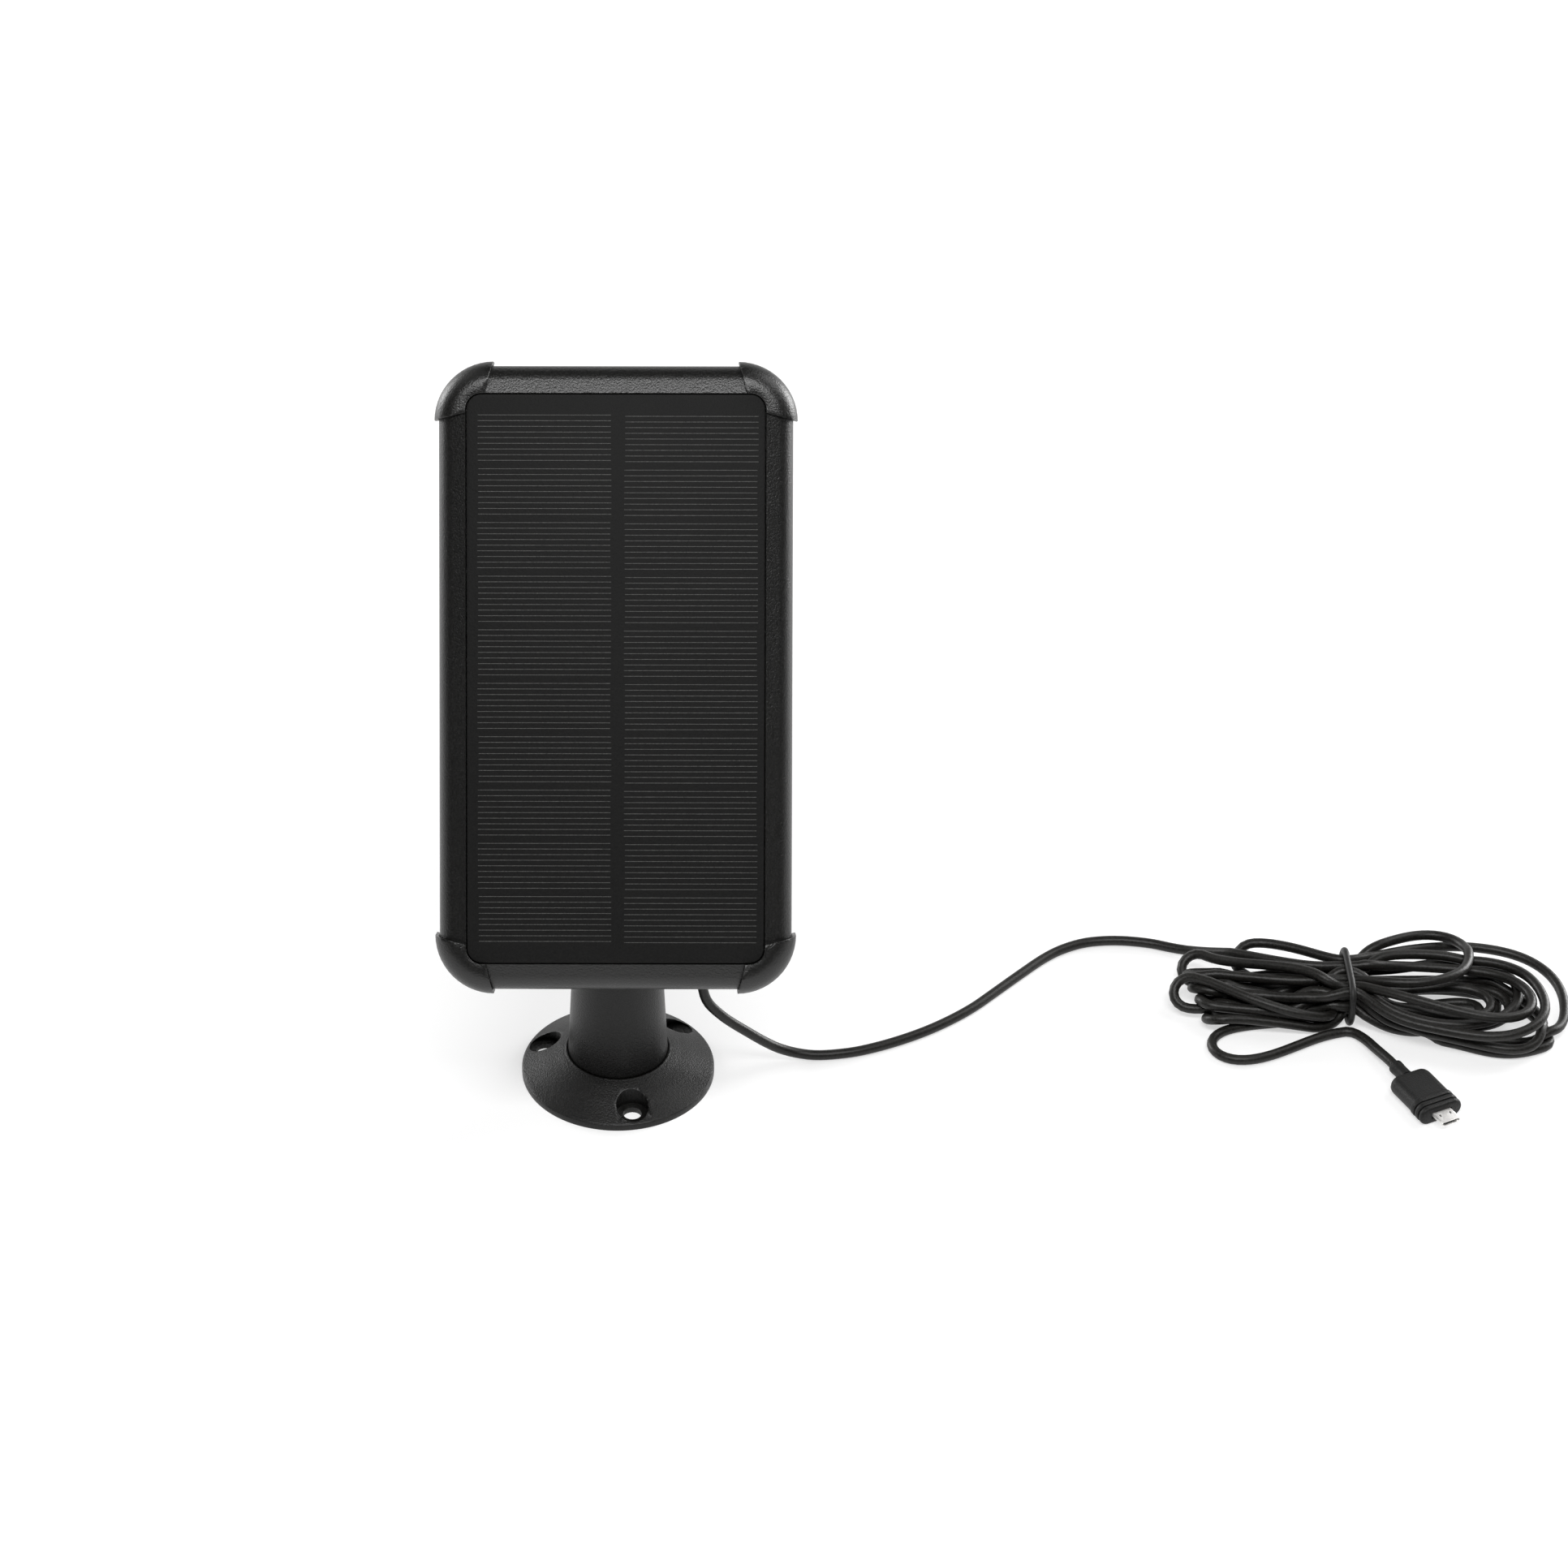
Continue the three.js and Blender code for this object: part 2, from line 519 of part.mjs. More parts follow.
const HOUSING_BOSS_DEPTH = BACK_INSIDE - HOUSING_BOSS_TOP;
const BRACKET_BOSS_DEPTH = BACK_INSIDE - BRACKET_BOSS_HEIGHT;

function frontFrame() {
  const body = loft([
    panelLoop(0, PARTING_DEPTH),
    ...railRounding(0),
    laminateLoop(GAP, 0),
    laminateLoop(GAP, LEDGE_TOP),
    laminateLoop(-LEDGE_WIDTH, LEDGE_TOP),
    laminateLoop(-LEDGE_WIDTH, LEDGE_TOP + LEDGE_THICKNESS),
    panelLoop(WALL, LEDGE_TOP + LEDGE_THICKNESS),
    panelLoop(WALL, PARTING_DEPTH),
  ], true);
  const bossTop = -LEDGE_TOP - LEDGE_THICKNESS / 2;
  const bosses = housingScrews.map(([x, y]) =>
    cylinder(HOUSING_BOSS, -HOUSING_BOSS_DEPTH + GAP, bossTop, 16).translate(x, y, 0));
  const trimmed = bosses.map((boss) => clip(boss, loft([
    panelLoop(0.6, PANEL_DEPTH), panelLoop(0.6, PARTING_DEPTH), panelLoop(0.6, LEDGE_TOP),
  ], false)));
  const pilots = housingScrews.map(([x, y]) =>
    cylinder(SCREW_SHANK + GAP, -PANEL_DEPTH, -LEDGE_TOP - LEDGE_THICKNESS, 12).translate(x, y, 0));
  // Below the parting line the bosses stand inside the rear housing's wall.
  const inside = loft([panelLoop(WALL + GAP, PANEL_DEPTH), panelLoop(WALL + GAP, PARTING_DEPTH)], false);
  const ringBelow = cut(loft([panelLoop(-1, PANEL_DEPTH), panelLoop(-1, PARTING_DEPTH)], false), inside);
  return cut(join(body, ...trimmed), ringBelow, ...pilots);
}

function cornerCap(sx, sy) {
  const shell = loft([
    laminateLoop(GAP, -GAP),
    laminateLoop(GAP, -GAP - 0.4),
    ...railRounding(CAP_PROUD).reverse(),
    panelLoop(-CAP_PROUD, CAP_DEPTH),
    panelLoop(-GAP, CAP_DEPTH),
    ...railRounding(GAP),
  ], true);
  // The cap keeps what lies beyond two slanted lines that mirror each other at the corner.
  const cornerX = OUTER_WIDTH / 2 + CAP_PROUD;
  const cornerY = OUTER_HEIGHT / 2 + CAP_PROUD;
  const slope = CAP_SLANT / (RAIL_WIDTH + CAP_PROUD);
  const inner = CAP_REACH / (1 + slope);
  const far = 10;
  const outline = [
    [cornerX - inner, cornerY - inner],
    [cornerX + far, cornerY - CAP_REACH - slope * far],
    [cornerX + far, cornerY + far],
    [cornerX - CAP_REACH - slope * far, cornerY + far],
  ].map(([x, y]) => [sx * x, sy * y]);
  return clip(shell, prism(outline, -PANEL_DEPTH - 1, CAP_PROUD + 2));
}

function housingGasket() {
  const outer = GASKET_INSET;
  const inner = GASKET_INSET + GASKET_WIDTH;
  return loft([
    panelLoop(outer, HOUSING_TOP), panelLoop(inner, HOUSING_TOP),
    panelLoop(inner, HOUSING_TOP + GASKET_HEIGHT), panelLoop(outer, HOUSING_TOP + GASKET_HEIGHT),
  ], true);
}

function rearHousing() {
  const steps = 3;
  const rounding = Array.from({ length: steps + 1 }, (_, i) => {
    const angle = i / steps * Math.PI / 2;
    const [inset, rise] = [1 - Math.sin(angle), 1 - Math.cos(angle)];
    return panelLoop(BACK_ROUNDING * inset, PANEL_DEPTH - BACK_ROUNDING * rise);
  });
  const shell = loft([
    ...rounding,
    panelLoop(0, HOUSING_TOP),
    panelLoop(WALL, HOUSING_TOP),
    panelLoop(WALL, BACK_INSIDE - 1),
    panelLoop(WALL + 1, BACK_INSIDE),
  ], false);
  const inside = loft([panelLoop(1, PANEL_DEPTH - 1.5), panelLoop(1, HOUSING_TOP)], false);
  const boss = (radius, top, [x, y]) => cylinder(radius, -PANEL_DEPTH + 1, -top, 16).translate(x, y, 0);
  const bosses = [
    ...housingScrews.map((spot) => clip(boss(HOUSING_BOSS, HOUSING_BOSS_DEPTH, spot), inside)),
    ...bracketScrews.map((spot) => boss(BRACKET_BOSS, BRACKET_BOSS_DEPTH, spot)),
    ...boardScrews.map((spot) => boss(BOARD_BOSS, BACK_INSIDE - BOARD_STANDOFF, spot)),
  ];
  const hole = (radius, low, high, [x, y]) => cylinder(radius, -low, -high, 12).translate(x, y, 0);
  const holes = [
    ...housingScrews.flatMap((spot) => [
      hole(SCREW_SHANK + GAP, PANEL_DEPTH + 1, PARTING_DEPTH, spot),
      hole(SCREW_HEAD + GAP, PANEL_DEPTH + 1, PANEL_DEPTH - SCREW_HEAD_HEIGHT - GAP, spot),
    ]),
    ...bracketScrews.map((spot) => hole(SCREW_SHANK + GAP, PANEL_DEPTH + 1, BRACKET_BOSS_DEPTH + 1, spot)),
    ...boardScrews.map((spot) => hole(BOARD_SCREW_SHANK + GAP, BACK_INSIDE - 0.2, PARTING_DEPTH, spot)),
    hole(GLAND_THREAD + GAP, PANEL_DEPTH + 1, PARTING_DEPTH, glandPlace),
  ];
  const grooveLoops = [
    panelLoop(GASKET_INSET - GAP, HOUSING_TOP - 1),
    panelLoop(GASKET_INSET + GASKET_WIDTH + GAP, HOUSING_TOP - 1),
    panelLoop(GASKET_INSET + GASKET_WIDTH + GAP, HOUSING_TOP + GASKET_HEIGHT + GAP),
    panelLoop(GASKET_INSET - GAP, HOUSING_TOP + GASKET_HEIGHT + GAP),
  ];
  return cut(join(shell, ...bosses), loft(grooveLoops, true), ...holes);
}

function buildLaminate() {
  const sheet = (margin, top, thickness) => prism(
    roundedRect(LAMINATE_WIDTH - 2 * margin, LAMINATE_HEIGHT - 2 * margin, LAMINATE_CORNER - margin),
    -top - thickness, -top);
  place("pv_cover_sheet", sheet(0, 0, COVER_THICKNESS), coverFilm, panel);
  const cellTop = COVER_THICKNESS + GAP;
  const columnWidth = (LAMINATE_WIDTH - CELL_LEFT_MARGIN - CELL_RIGHT_MARGIN - CELL_COLUMN_GAP) / 2;
  const leftEdge = -LAMINATE_WIDTH / 2 + CELL_LEFT_MARGIN;
  const rightEdge = LAMINATE_WIDTH / 2 - CELL_RIGHT_MARGIN;
  for (const [name, low] of [["left", leftEdge], ["right", rightEdge - columnWidth]]) {
    const strip = box(low, low + columnWidth,
      -LAMINATE_HEIGHT / 2 + CELL_BOTTOM_MARGIN, LAMINATE_HEIGHT / 2 - CELL_TOP_MARGIN,
      -cellTop - CELL_THICKNESS, -cellTop);
    place(`cell_string_${name}`, strip, silicon, panel);
  }
  place("pv_backing_board", sheet(0, cellTop + CELL_THICKNESS + GAP, BACKING_THICKNESS), glassFibre, panel);
}

function buildHousing() {
  place("front_frame", frontFrame(), blackPlastic, panel);
  for (const [row, sy] of [["top", 1], ["bottom", -1]]) {
    for (const [column, sx] of [["left", -1], ["right", 1]]) {
      place(`corner_cap_${row}_${column}`, cornerCap(sx, sy), capPlastic, panel);
    }
  }
  place("housing_gasket", housingGasket(), rubber, panel);
  place("rear_housing", rearHousing(), blackPlastic, panel);
  housingScrews.forEach(([x, y], i) => {
    const length = PANEL_DEPTH - LEDGE_TOP - LEDGE_THICKNESS - 2;
    const piece = screw(SCREW_SHANK, SCREW_HEAD, SCREW_HEAD_HEIGHT, length).translate(x, y, -PANEL_DEPTH);
    place(`housing_screw_${i + 1}`, piece, steel, panel);
  });
}

// ---------------------------------------------------------------- tilt bracket
function tiltBracket() {
  const plateLow = BACK_FROM_PIVOT - GAP - BRACKET_THICKNESS;
  const middle = (BRACKET_LOW + BRACKET_HIGH) / 2;
  const outline = roundedRect(BRACKET_WIDTH, BRACKET_HIGH - BRACKET_LOW, BRACKET_CORNER);
  const plate = prism(outline, plateLow, plateLow + BRACKET_THICKNESS).translate(0, middle, 0);
  const tongue = new THREE.Shape();
  tongue.absarc(0, 0, EAR_RADIUS - 0.5, Math.PI, 2 * Math.PI, false);
  tongue.lineTo(EAR_RADIUS + 6, plateLow + 1);
  tongue.lineTo(-EAR_RADIUS + 0.5, plateLow + 1);
  const settings = { depth: TONGUE_THICKNESS, bevelEnabled: false, curveSegments: 10 };
  const web = new THREE.ExtrudeGeometry(tongue, settings);
  web.rotateX(Math.PI / 2).rotateZ(Math.PI / 2).translate(-TONGUE_THICKNESS / 2, 0, 0);
  const bore = cylinder(BOLT_HOLE, -TONGUE_THICKNESS, TONGUE_THICKNESS, 16).rotateY(Math.PI / 2);
  const holes = bracketScrews.flatMap(([x, y]) => {
    const spot = [x, y + PIVOT_TO_CENTRE, 0];
    return [
      cylinder(SCREW_SHANK + GAP, plateLow - 1, BACK_FROM_PIVOT, 12).translate(...spot),
      cylinder(SCREW_HEAD + GAP, plateLow - 1, plateLow + SCREW_HEAD_HEIGHT + GAP, 12).translate(...spot),
    ];
  });
  return cut(join(plate, web), bore, ...holes);
}

function buildBracket() {
  place("tilt_bracket", tiltBracket(), blackPlastic, tilted);
  const plateLow = BACK_FROM_PIVOT - GAP - BRACKET_THICKNESS;
  bracketScrews.forEach(([x, y], i) => {
    const piece = screw(SCREW_SHANK, SCREW_HEAD, SCREW_HEAD_HEIGHT, BRACKET_SCREW_LENGTH);
    place(`bracket_screw_${i + 1}`, piece.translate(x, y + PIVOT_TO_CENTRE, plateLow), steel, tilted);
  });
}

// ---------------------------------------------------------------- electronics
function buildElectronics() {
  const boardLow = -BACK_INSIDE + BOARD_STANDOFF + GAP;
  const boardTop = boardLow + BOARD_THICKNESS;
  const board = prism(roundedRect(BOARD_WIDTH, BOARD_HEIGHT, 1.5, 3), boardLow, boardTop)
    .translate(0, BOARD_CENTRE, 0);
  const holes = boardScrews.map(([x, y]) =>
    cylinder(BOARD_SCREW_SHANK + GAP, boardLow - 1, boardTop + 1, 10).translate(x, y, 0));
  place("charge_board", cut(board, ...holes), glassFibre, panel);
  const onBoard = boardTop + GAP;
  boardScrews.forEach(([x, y], i) => {
    const piece = screw(BOARD_SCREW_SHANK, BOARD_SCREW_HEAD, BOARD_SCREW_HEAD_HEIGHT, BOARD_SCREW_LENGTH)
      .rotateX(Math.PI).translate(x, y, onBoard + BOARD_SCREW_HEAD_HEIGHT);
    place(`board_screw_${i + 1}`, piece, steel, panel);
  });
  const part = (name, geometry, [x, y], material) =>
    place(name, geometry.translate(x, BOARD_CENTRE + y, onBoard), material, panel);
  const can = ({ radius, height }) => cylinder(radius, 0, height, 20);
  const block = ({ size: [x, y, z] }) => box(-x / 2, x / 2, -y / 2, y / 2, 0, z);
  part("inductor", can(INDUCTOR), INDUCTOR.at, rubber);
  part("smoothing_capacitor", can(CAPACITOR), CAPACITOR.at, steel);
  part("regulator_chip", block(REGULATOR), REGULATOR.at, rubber);
  part("blocking_diode", block(DIODE), DIODE.at, rubber);
  part("output_terminal", block(TERMINAL), TERMINAL.at, nylon);
  const underBacking = -LEDGE_TOP - GAP;
  const boardEdge = BOARD_CENTRE + BOARD_HEIGHT / 2;
  const wires = [["positive_wire", POSITIVE_WIRE_X, redSkin], ["negative_wire", NEGATIVE_WIRE_X, rubber]];
  for (const [name, x, material] of wires) {
    const top = BOARD_CENTRE + WIRE_ABOVE_BOARD;
    place(name, tube([
      [x, top, underBacking - 1], [x, top - 4, underBacking - 1.4], [x, boardEdge, -9.5],
      [x, boardEdge - 6, onBoard + 2.2], [x, boardEdge - 7.2, onBoard + 0.2],
    ], WIRE_RADIUS, 12, 6), material, panel);
  }
}

// ---------------------------------------------------------------- gland, lead and plug
function buildGland() {
  const [x, y] = glandPlace;
  const back = -PANEL_DEPTH;
  const boreRadius = CORD_RADIUS + GAP;
  const tip = back - GLAND_LENGTH;
  const gland = lathe([
    [boreRadius, tip], [GLAND_TIP, tip], [GLAND_TIP + 0.5, tip + 6], [GLAND_FLANGE - 0.6, back - GAP - 2.4],
    [GLAND_FLANGE, back - GAP - 2], [GLAND_FLANGE, back - GAP], [GLAND_THREAD, back - GAP],
    [GLAND_THREAD, -PARTING_DEPTH - 1], [boreRadius, -PARTING_DEPTH - 1], [boreRadius, tip],
  ], 20);
  place("cable_gland", gland.translate(x, y, 0), rubber, panel);
  const nutLow = -BACK_INSIDE + GAP;
  const nutBore = cylinder(GLAND_THREAD + GAP, nutLow - 1, nutLow + GLAND_NUT_HEIGHT + 1, 16);
  const nut = cut(prism(hexagon(GLAND_NUT_ACROSS_FLATS), nutLow, nutLow + GLAND_NUT_HEIGHT), nutBore);
  place("gland_nut", nut.translate(x, y, 0), nylon, panel);
  const terminal = [TERMINAL.at[0], BOARD_CENTRE + TERMINAL.at[1] - TERMINAL.size[1] / 2];
  const height = -BACK_INSIDE + BOARD_STANDOFF + BOARD_THICKNESS + 2 * GAP + 2.4;
  const inner = tube([
    [terminal[0], terminal[1] - GAP, height], [terminal[0] + 1, terminal[1] - 10.5, height + 0.6],
    [x - 3, y + 20, -11], [x, y + 7, -9.4], [x, y + 1.5, -11.4], [x, y, -15], [x, y, -20], [x, y, tip + 0.2],
  ], CORD_RADIUS, 20);
  place("inner_lead", inner, cordSkin, panel);
}

function hankBody() {
  const outline = new THREE.Shape();
  const points = HANK_OUTLINE.map(([x, y]) => new THREE.Vector2(x, y));
  const curve = new THREE.CatmullRomCurve3(points.map((p) => new THREE.Vector3(p.x, p.y, 0)), true);
  outline.setFromPoints(curve.getPoints(48).slice(0, -1).map((p) => new THREE.Vector2(p.x, p.y)));
  const body = new THREE.ExtrudeGeometry(outline, {
    depth: HANK_HEIGHT - 2 * HANK_BEVEL, bevelEnabled: true, bevelThickness: HANK_BEVEL,
    bevelSize: HANK_BEVEL, bevelOffset: -HANK_BEVEL, bevelSegments: 2,
  }).translate(0, 0, HANK_LOW + HANK_BEVEL);
  // The groove under the tie leaves a rounded waist.
  const reach = TIE_RADIUS + GAP;
  const slab = box(TIE_X - reach, TIE_X + reach, -20, 90, -5, HANK_HEIGHT + 10);
  return cut(body, cut(slab, waist(0).translate(TIE_X, 0, 0)));
}

// The bundle's section under the tie, grown by a margin, along X.
const WAIST_LOW = 2 * TIE_RADIUS + GAP + HANK_LOW;
function waist(margin) {
  const high = HANK_HEIGHT - 1;
  const outline = roundedRect(WAIST_WIDTH + 2 * margin, high - WAIST_LOW + 2 * margin, WAIST_CORNER + margin);
  return prism(outline, -5, 5).rotateX(Math.PI / 2).rotateZ(Math.PI / 2)
    .translate(0, WAIST_MIDDLE, (WAIST_LOW + high) / 2);
}

function cableTie() {
  const band = box(TIE_X - TIE_RADIUS, TIE_X + TIE_RADIUS, -20, 90, -5, HANK_HEIGHT + 10);
  const outer = clip(waist(GAP + 2 * TIE_RADIUS).translate(TIE_X, 0, 0), band);
  return cut(outer, waist(GAP).translate(TIE_X, 0, 0));
}

function buildLead() {
  const tip = new THREE.Vector3(GLAND_X, GLAND_DROP, BACK_FROM_PIVOT - GLAND_LENGTH - GAP);
  const away = new THREE.Vector3(GLAND_X, GLAND_DROP, tip.z - 3);
  tilted.updateMatrixWorld(true);
  const start = [tip, away].map((p) => p.applyMatrix4(tilted.matrixWorld).toArray());
  place("power_cable", tube([...start, ...LEAD_ROUTE], CORD_RADIUS, 56), cordSkin);
  place("cable_hank", hankBody(), cordSkin);
  place("cable_tie", cableTie(), rubber);
  const heading = degrees(PLUG_HEADING);
  const tailEnd = PLUG_NECK_LENGTH + GAP;
  const [x, y] = PLUG_PLACE;
  const joinPoint = (distance) =>
    [x - distance * Math.cos(heading), y - distance * Math.sin(heading), PLUG_THICKNESS / 2];
  const tail = [...TAIL_ROUTE, joinPoint(tailEnd + 2.5), joinPoint(tailEnd)];
  place("cable_tail", tube(tail, CORD_RADIUS, 8), cordSkin);
}

function plugBody() {
  const section = (margin) => prism(
    roundedRect(PLUG_THICKNESS - 2 * margin, PLUG_WIDTH - 2 * margin, PLUG_THICKNESS / 2 - margin, 4), 0, 1);
  const slice = (from, to, margin) => section(margin).scale(1, 1, to - from).translate(0, 0, from);
  const groove = PLUG_RIB_GROOVE;
  const front = PLUG_LENGTH;
  const frontGroove = front - PLUG_LIP;
  const rib = frontGroove - 1 + 0.2;
  const rearGroove = rib - PLUG_RIB - 0.8;
  const body = join(
    slice(0.6, rearGroove + 0.2, 0), slice(0, 1, 0.5), slice(rearGroove, rearGroove + 1, groove),
    slice(rib - PLUG_RIB, rib, 0), slice(rib - 0.2, frontGroove, groove), slice(frontGroove - 0.2, front, 0));
  const [halfThick, halfWide] = [SHELL_THICKNESS / 2 + GAP, SHELL_WIDTH / 2 + GAP];
  return cut(body, box(-halfThick, halfThick, -halfWide, halfWide, front - SHELL_BURIED, front + 1));
}

function buildPlug() {
  const plug = new THREE.Group();
  plug.position.set(PLUG_PLACE[0], PLUG_PLACE[1], PLUG_THICKNESS / 2);
  // The plug's own Z runs from the lead to the tip, its Y across and its X up.
  const heading = degrees(PLUG_HEADING);
  plug.setRotationFromMatrix(new THREE.Matrix4().makeBasis(
    new THREE.Vector3(0, 0, 1),
    new THREE.Vector3(Math.sin(heading), -Math.cos(heading), 0),
    new THREE.Vector3(Math.cos(heading), Math.sin(heading), 0)));
  object.add(plug);
  place("plug_body", plugBody(), rubber, plug);
  const neckEnd = -PLUG_NECK_LENGTH;
  const neck = lathe([
    [0, neckEnd], [PLUG_NECK_RADIUS - 0.4, neckEnd], [PLUG_NECK_RADIUS, neckEnd + 0.4],
    [PLUG_NECK_RADIUS, neckEnd + 2.4], [PLUG_NECK_RADIUS - 0.3, neckEnd + 2.8],
    [PLUG_NECK_RADIUS - 0.1, -GAP], [0, -GAP],
  ], 16);
  place("plug_neck", neck, rubber, plug);
  const [halfT, halfW] = [SHELL_THICKNESS / 2, SHELL_WIDTH / 2];
  const shellLow = PLUG_LENGTH - SHELL_BURIED + GAP;
  const shellHigh = PLUG_LENGTH + SHELL_LENGTH;
  const trapezium = (inset) => [
    [halfT - inset, halfW - inset], [-halfT / 3, halfW - inset],
    [-halfT + inset, halfW - SHELL_CHAMFER - inset], [-halfT + inset, -halfW + SHELL_CHAMFER + inset],
    [-halfT / 3, -halfW + inset], [halfT - inset, -halfW + inset],
  ];
  const hollow = prism(trapezium(SHELL_WALL), shellLow + 1, shellHigh + 1);
  place("plug_shell", cut(prism(trapezium(0), shellLow, shellHigh), hollow), nickel, plug);
  const tongue = box(-0.05, TONGUE_HEIGHT - 0.05, -TONGUE_WIDTH / 2, TONGUE_WIDTH / 2,
    shellLow + 1 + GAP, shellHigh - 0.5);
  place("plug_tongue", tongue, rubber, plug);
}

buildBase();
buildPost();
buildLaminate();
buildHousing();
buildBracket();
buildElectronics();
buildGland();
buildLead();
buildPlug();

export default object;
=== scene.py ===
"""Solar charging panel on a swivelling, tilting post, with its lead wound in a tied hank."""

import json
import math

import bmesh
import bpy
import numpy as np
from mathutils import Matrix, Vector


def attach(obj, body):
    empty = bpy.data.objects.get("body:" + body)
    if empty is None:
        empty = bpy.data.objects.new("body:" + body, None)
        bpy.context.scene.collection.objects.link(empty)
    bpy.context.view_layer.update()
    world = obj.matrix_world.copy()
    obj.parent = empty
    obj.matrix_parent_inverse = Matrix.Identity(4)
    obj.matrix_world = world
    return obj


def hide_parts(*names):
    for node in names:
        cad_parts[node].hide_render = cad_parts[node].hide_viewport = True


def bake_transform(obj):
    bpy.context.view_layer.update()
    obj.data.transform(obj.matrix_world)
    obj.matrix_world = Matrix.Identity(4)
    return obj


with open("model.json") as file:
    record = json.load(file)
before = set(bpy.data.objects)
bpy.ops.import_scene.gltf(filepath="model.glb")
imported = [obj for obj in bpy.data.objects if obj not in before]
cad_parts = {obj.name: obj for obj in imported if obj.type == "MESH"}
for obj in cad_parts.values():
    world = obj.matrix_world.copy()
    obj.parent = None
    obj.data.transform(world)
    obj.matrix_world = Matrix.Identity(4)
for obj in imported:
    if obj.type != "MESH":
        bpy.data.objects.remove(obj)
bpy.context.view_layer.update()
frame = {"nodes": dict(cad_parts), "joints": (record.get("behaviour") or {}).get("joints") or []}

MM = 0.001
joints = {joint["name"]: joint for joint in frame["joints"]}

# ------------------------------------------------------------------ sizes, in millimetres
TILT = math.radians(31.5)  # how far the panel's front looks up
PIVOT = Vector(joints["tilt"]["pos_m"]) / MM
PIVOT_TO_FRONT = 40
PIVOT_TO_CENTRE = 72.6

LAMINATE = (90.6, 173.2)
LAMINATE_CORNER = 4.5
RAIL_WIDTH = 8.7
OUTER = (LAMINATE[0] + 2 * RAIL_WIDTH, LAMINATE[1] + 2 * RAIL_WIDTH)
OUTER_CORNER = 16.8
FACET_SLOPE = math.atan2(1.2, RAIL_WIDTH / 2)
RAIL_ROUNDING = 6.2
PANEL_DEPTH = 22
PARTING_DEPTH = 14
WALL = 3.6
GAP = 0.3
CAP_PROUD = 1.4
CAP_REACH = 18
CAP_SLANT = 2.4
CAP_DEPTH = 17.7

GLAND_X = 24
GLAND_UP = -12  # from the tilt axis, along the panel
CORD_RADIUS = 1.65
EAR_INSIDE = 6.4
EAR_OUTSIDE = 11.4
BOLT_BORE = 2.8
NUT_CIRCLE = 4.97
SCREW_BORE = 1.55
EAR_ROOT = 47  # height where the ears start, inside the post


# ------------------------------------------------------------------ camera
def make_camera():
    """The viewpoint: a long lens looking down at the panel from the front, shifted sideways."""
    aim = Vector((0.0162, 0.1608, 0))
    depression = math.radians(35.054)
    distance = 1.5474
    roll = math.radians(0.085)
    data = bpy.data.cameras.new("camera")
    data.sensor_width = 36
    data.lens = 100.62
    data.shift_x = 0.0735
    data.clip_end = 100
    camera = bpy.data.objects.new("camera", data)
    bpy.context.scene.collection.objects.link(camera)
    ahead = Vector((0, math.cos(depression), -math.sin(depression)))
    camera.location = aim - ahead * distance
    level = Matrix.Rotation(math.pi / 2 - depression, 4, "X")
    camera.rotation_euler = (level @ Matrix.Rotation(roll, 4, "Z")).to_euler()
    bpy.context.scene.camera = camera


# ------------------------------------------------------------------ mesh helpers
def panel_space():
    """From the panel's own axes (right, up, out of the front) to the model's axes, in millimetres."""
    up = Vector((0, math.sin(TILT), math.cos(TILT)))
    out = Vector((0, -math.cos(TILT), math.sin(TILT)))
    origin = PIVOT + up * PIVOT_TO_CENTRE + out * PIVOT_TO_FRONT
    matrix = Matrix((Vector((1, 0, 0)), up, out)).transposed().to_4x4()
    matrix.translation = origin
    return matrix


PANEL = panel_space()
WORLD = Matrix.Identity(4)


def mesh_object(name, points, faces, space=WORLD):
    """An object from points in millimetres, placed by a space; its own place stays the origin."""
    mesh = bpy.data.meshes.new(name)
    mesh.from_pydata([tuple(p) for p in points], [], [tuple(f) for f in faces])
    mesh.transform(Matrix.Scale(MM, 4) @ space)
    made = bmesh.new()
    made.from_mesh(mesh)
    bmesh.ops.remove_doubles(made, verts=made.verts, dist=1e-7)
    bmesh.ops.recalc_face_normals(made, faces=made.faces)
    made.to_mesh(mesh)
    made.free()
    obj = bpy.data.objects.new(name, mesh)
    bpy.context.scene.collection.objects.link(obj)
    return obj


def grid_faces(rows, count, wraps):
    """Quads between rows of points; wraps closes the last row onto the first."""
    faces = []
    for row in range(rows if wraps else rows - 1):
        below = ((row + 1) % rows) * count
        for i in range(count):
            j = (i + 1) % count
            faces.append((row * count + i, row * count + j, below + j, below + i))
    return faces


def loft(name, loops, wraps, space=WORLD):
    """A skin through loops of equal length, closed on itself or capped flat at its ends."""
    count = len(loops[0])
    faces = grid_faces(len(loops), count, wraps)
    if not wraps:
        faces.append(range(count))
        faces.append([(len(loops) - 1) * count + i for i in reversed(range(count))])
    return mesh_object(name, [p for loop in loops for p in loop], faces, space)


def lathe(name, profile, segments=96, space=WORLD):
    """A solid of revolution about Z; the profile starts and ends on the axis, or closes on itself."""
    points = []
    for radius, height in profile:
        for i in range(segments):
            angle = 2 * math.pi * i / segments
            points.append((radius * math.cos(angle), radius * math.sin(angle), height))
    faces = grid_faces(len(profile), segments, profile[0][0] > 0)
    return mesh_object(name, points, faces, space)


def rounded_rect(width, height, radius, steps=14):
    """Outline of a rectangle with round corners, centred on the origin."""
    points = []
    for sx, sy, quarter in ((1, 1, 0), (-1, 1, 1), (-1, -1, 2), (1, -1, 3)):
        for i in range(steps + 1):
            angle = (quarter + i / steps) * math.pi / 2
            points.append((sx * (width / 2 - radius) + radius * math.cos(angle),
                           sy * (height / 2 - radius) + radius * math.sin(angle)))
    return points


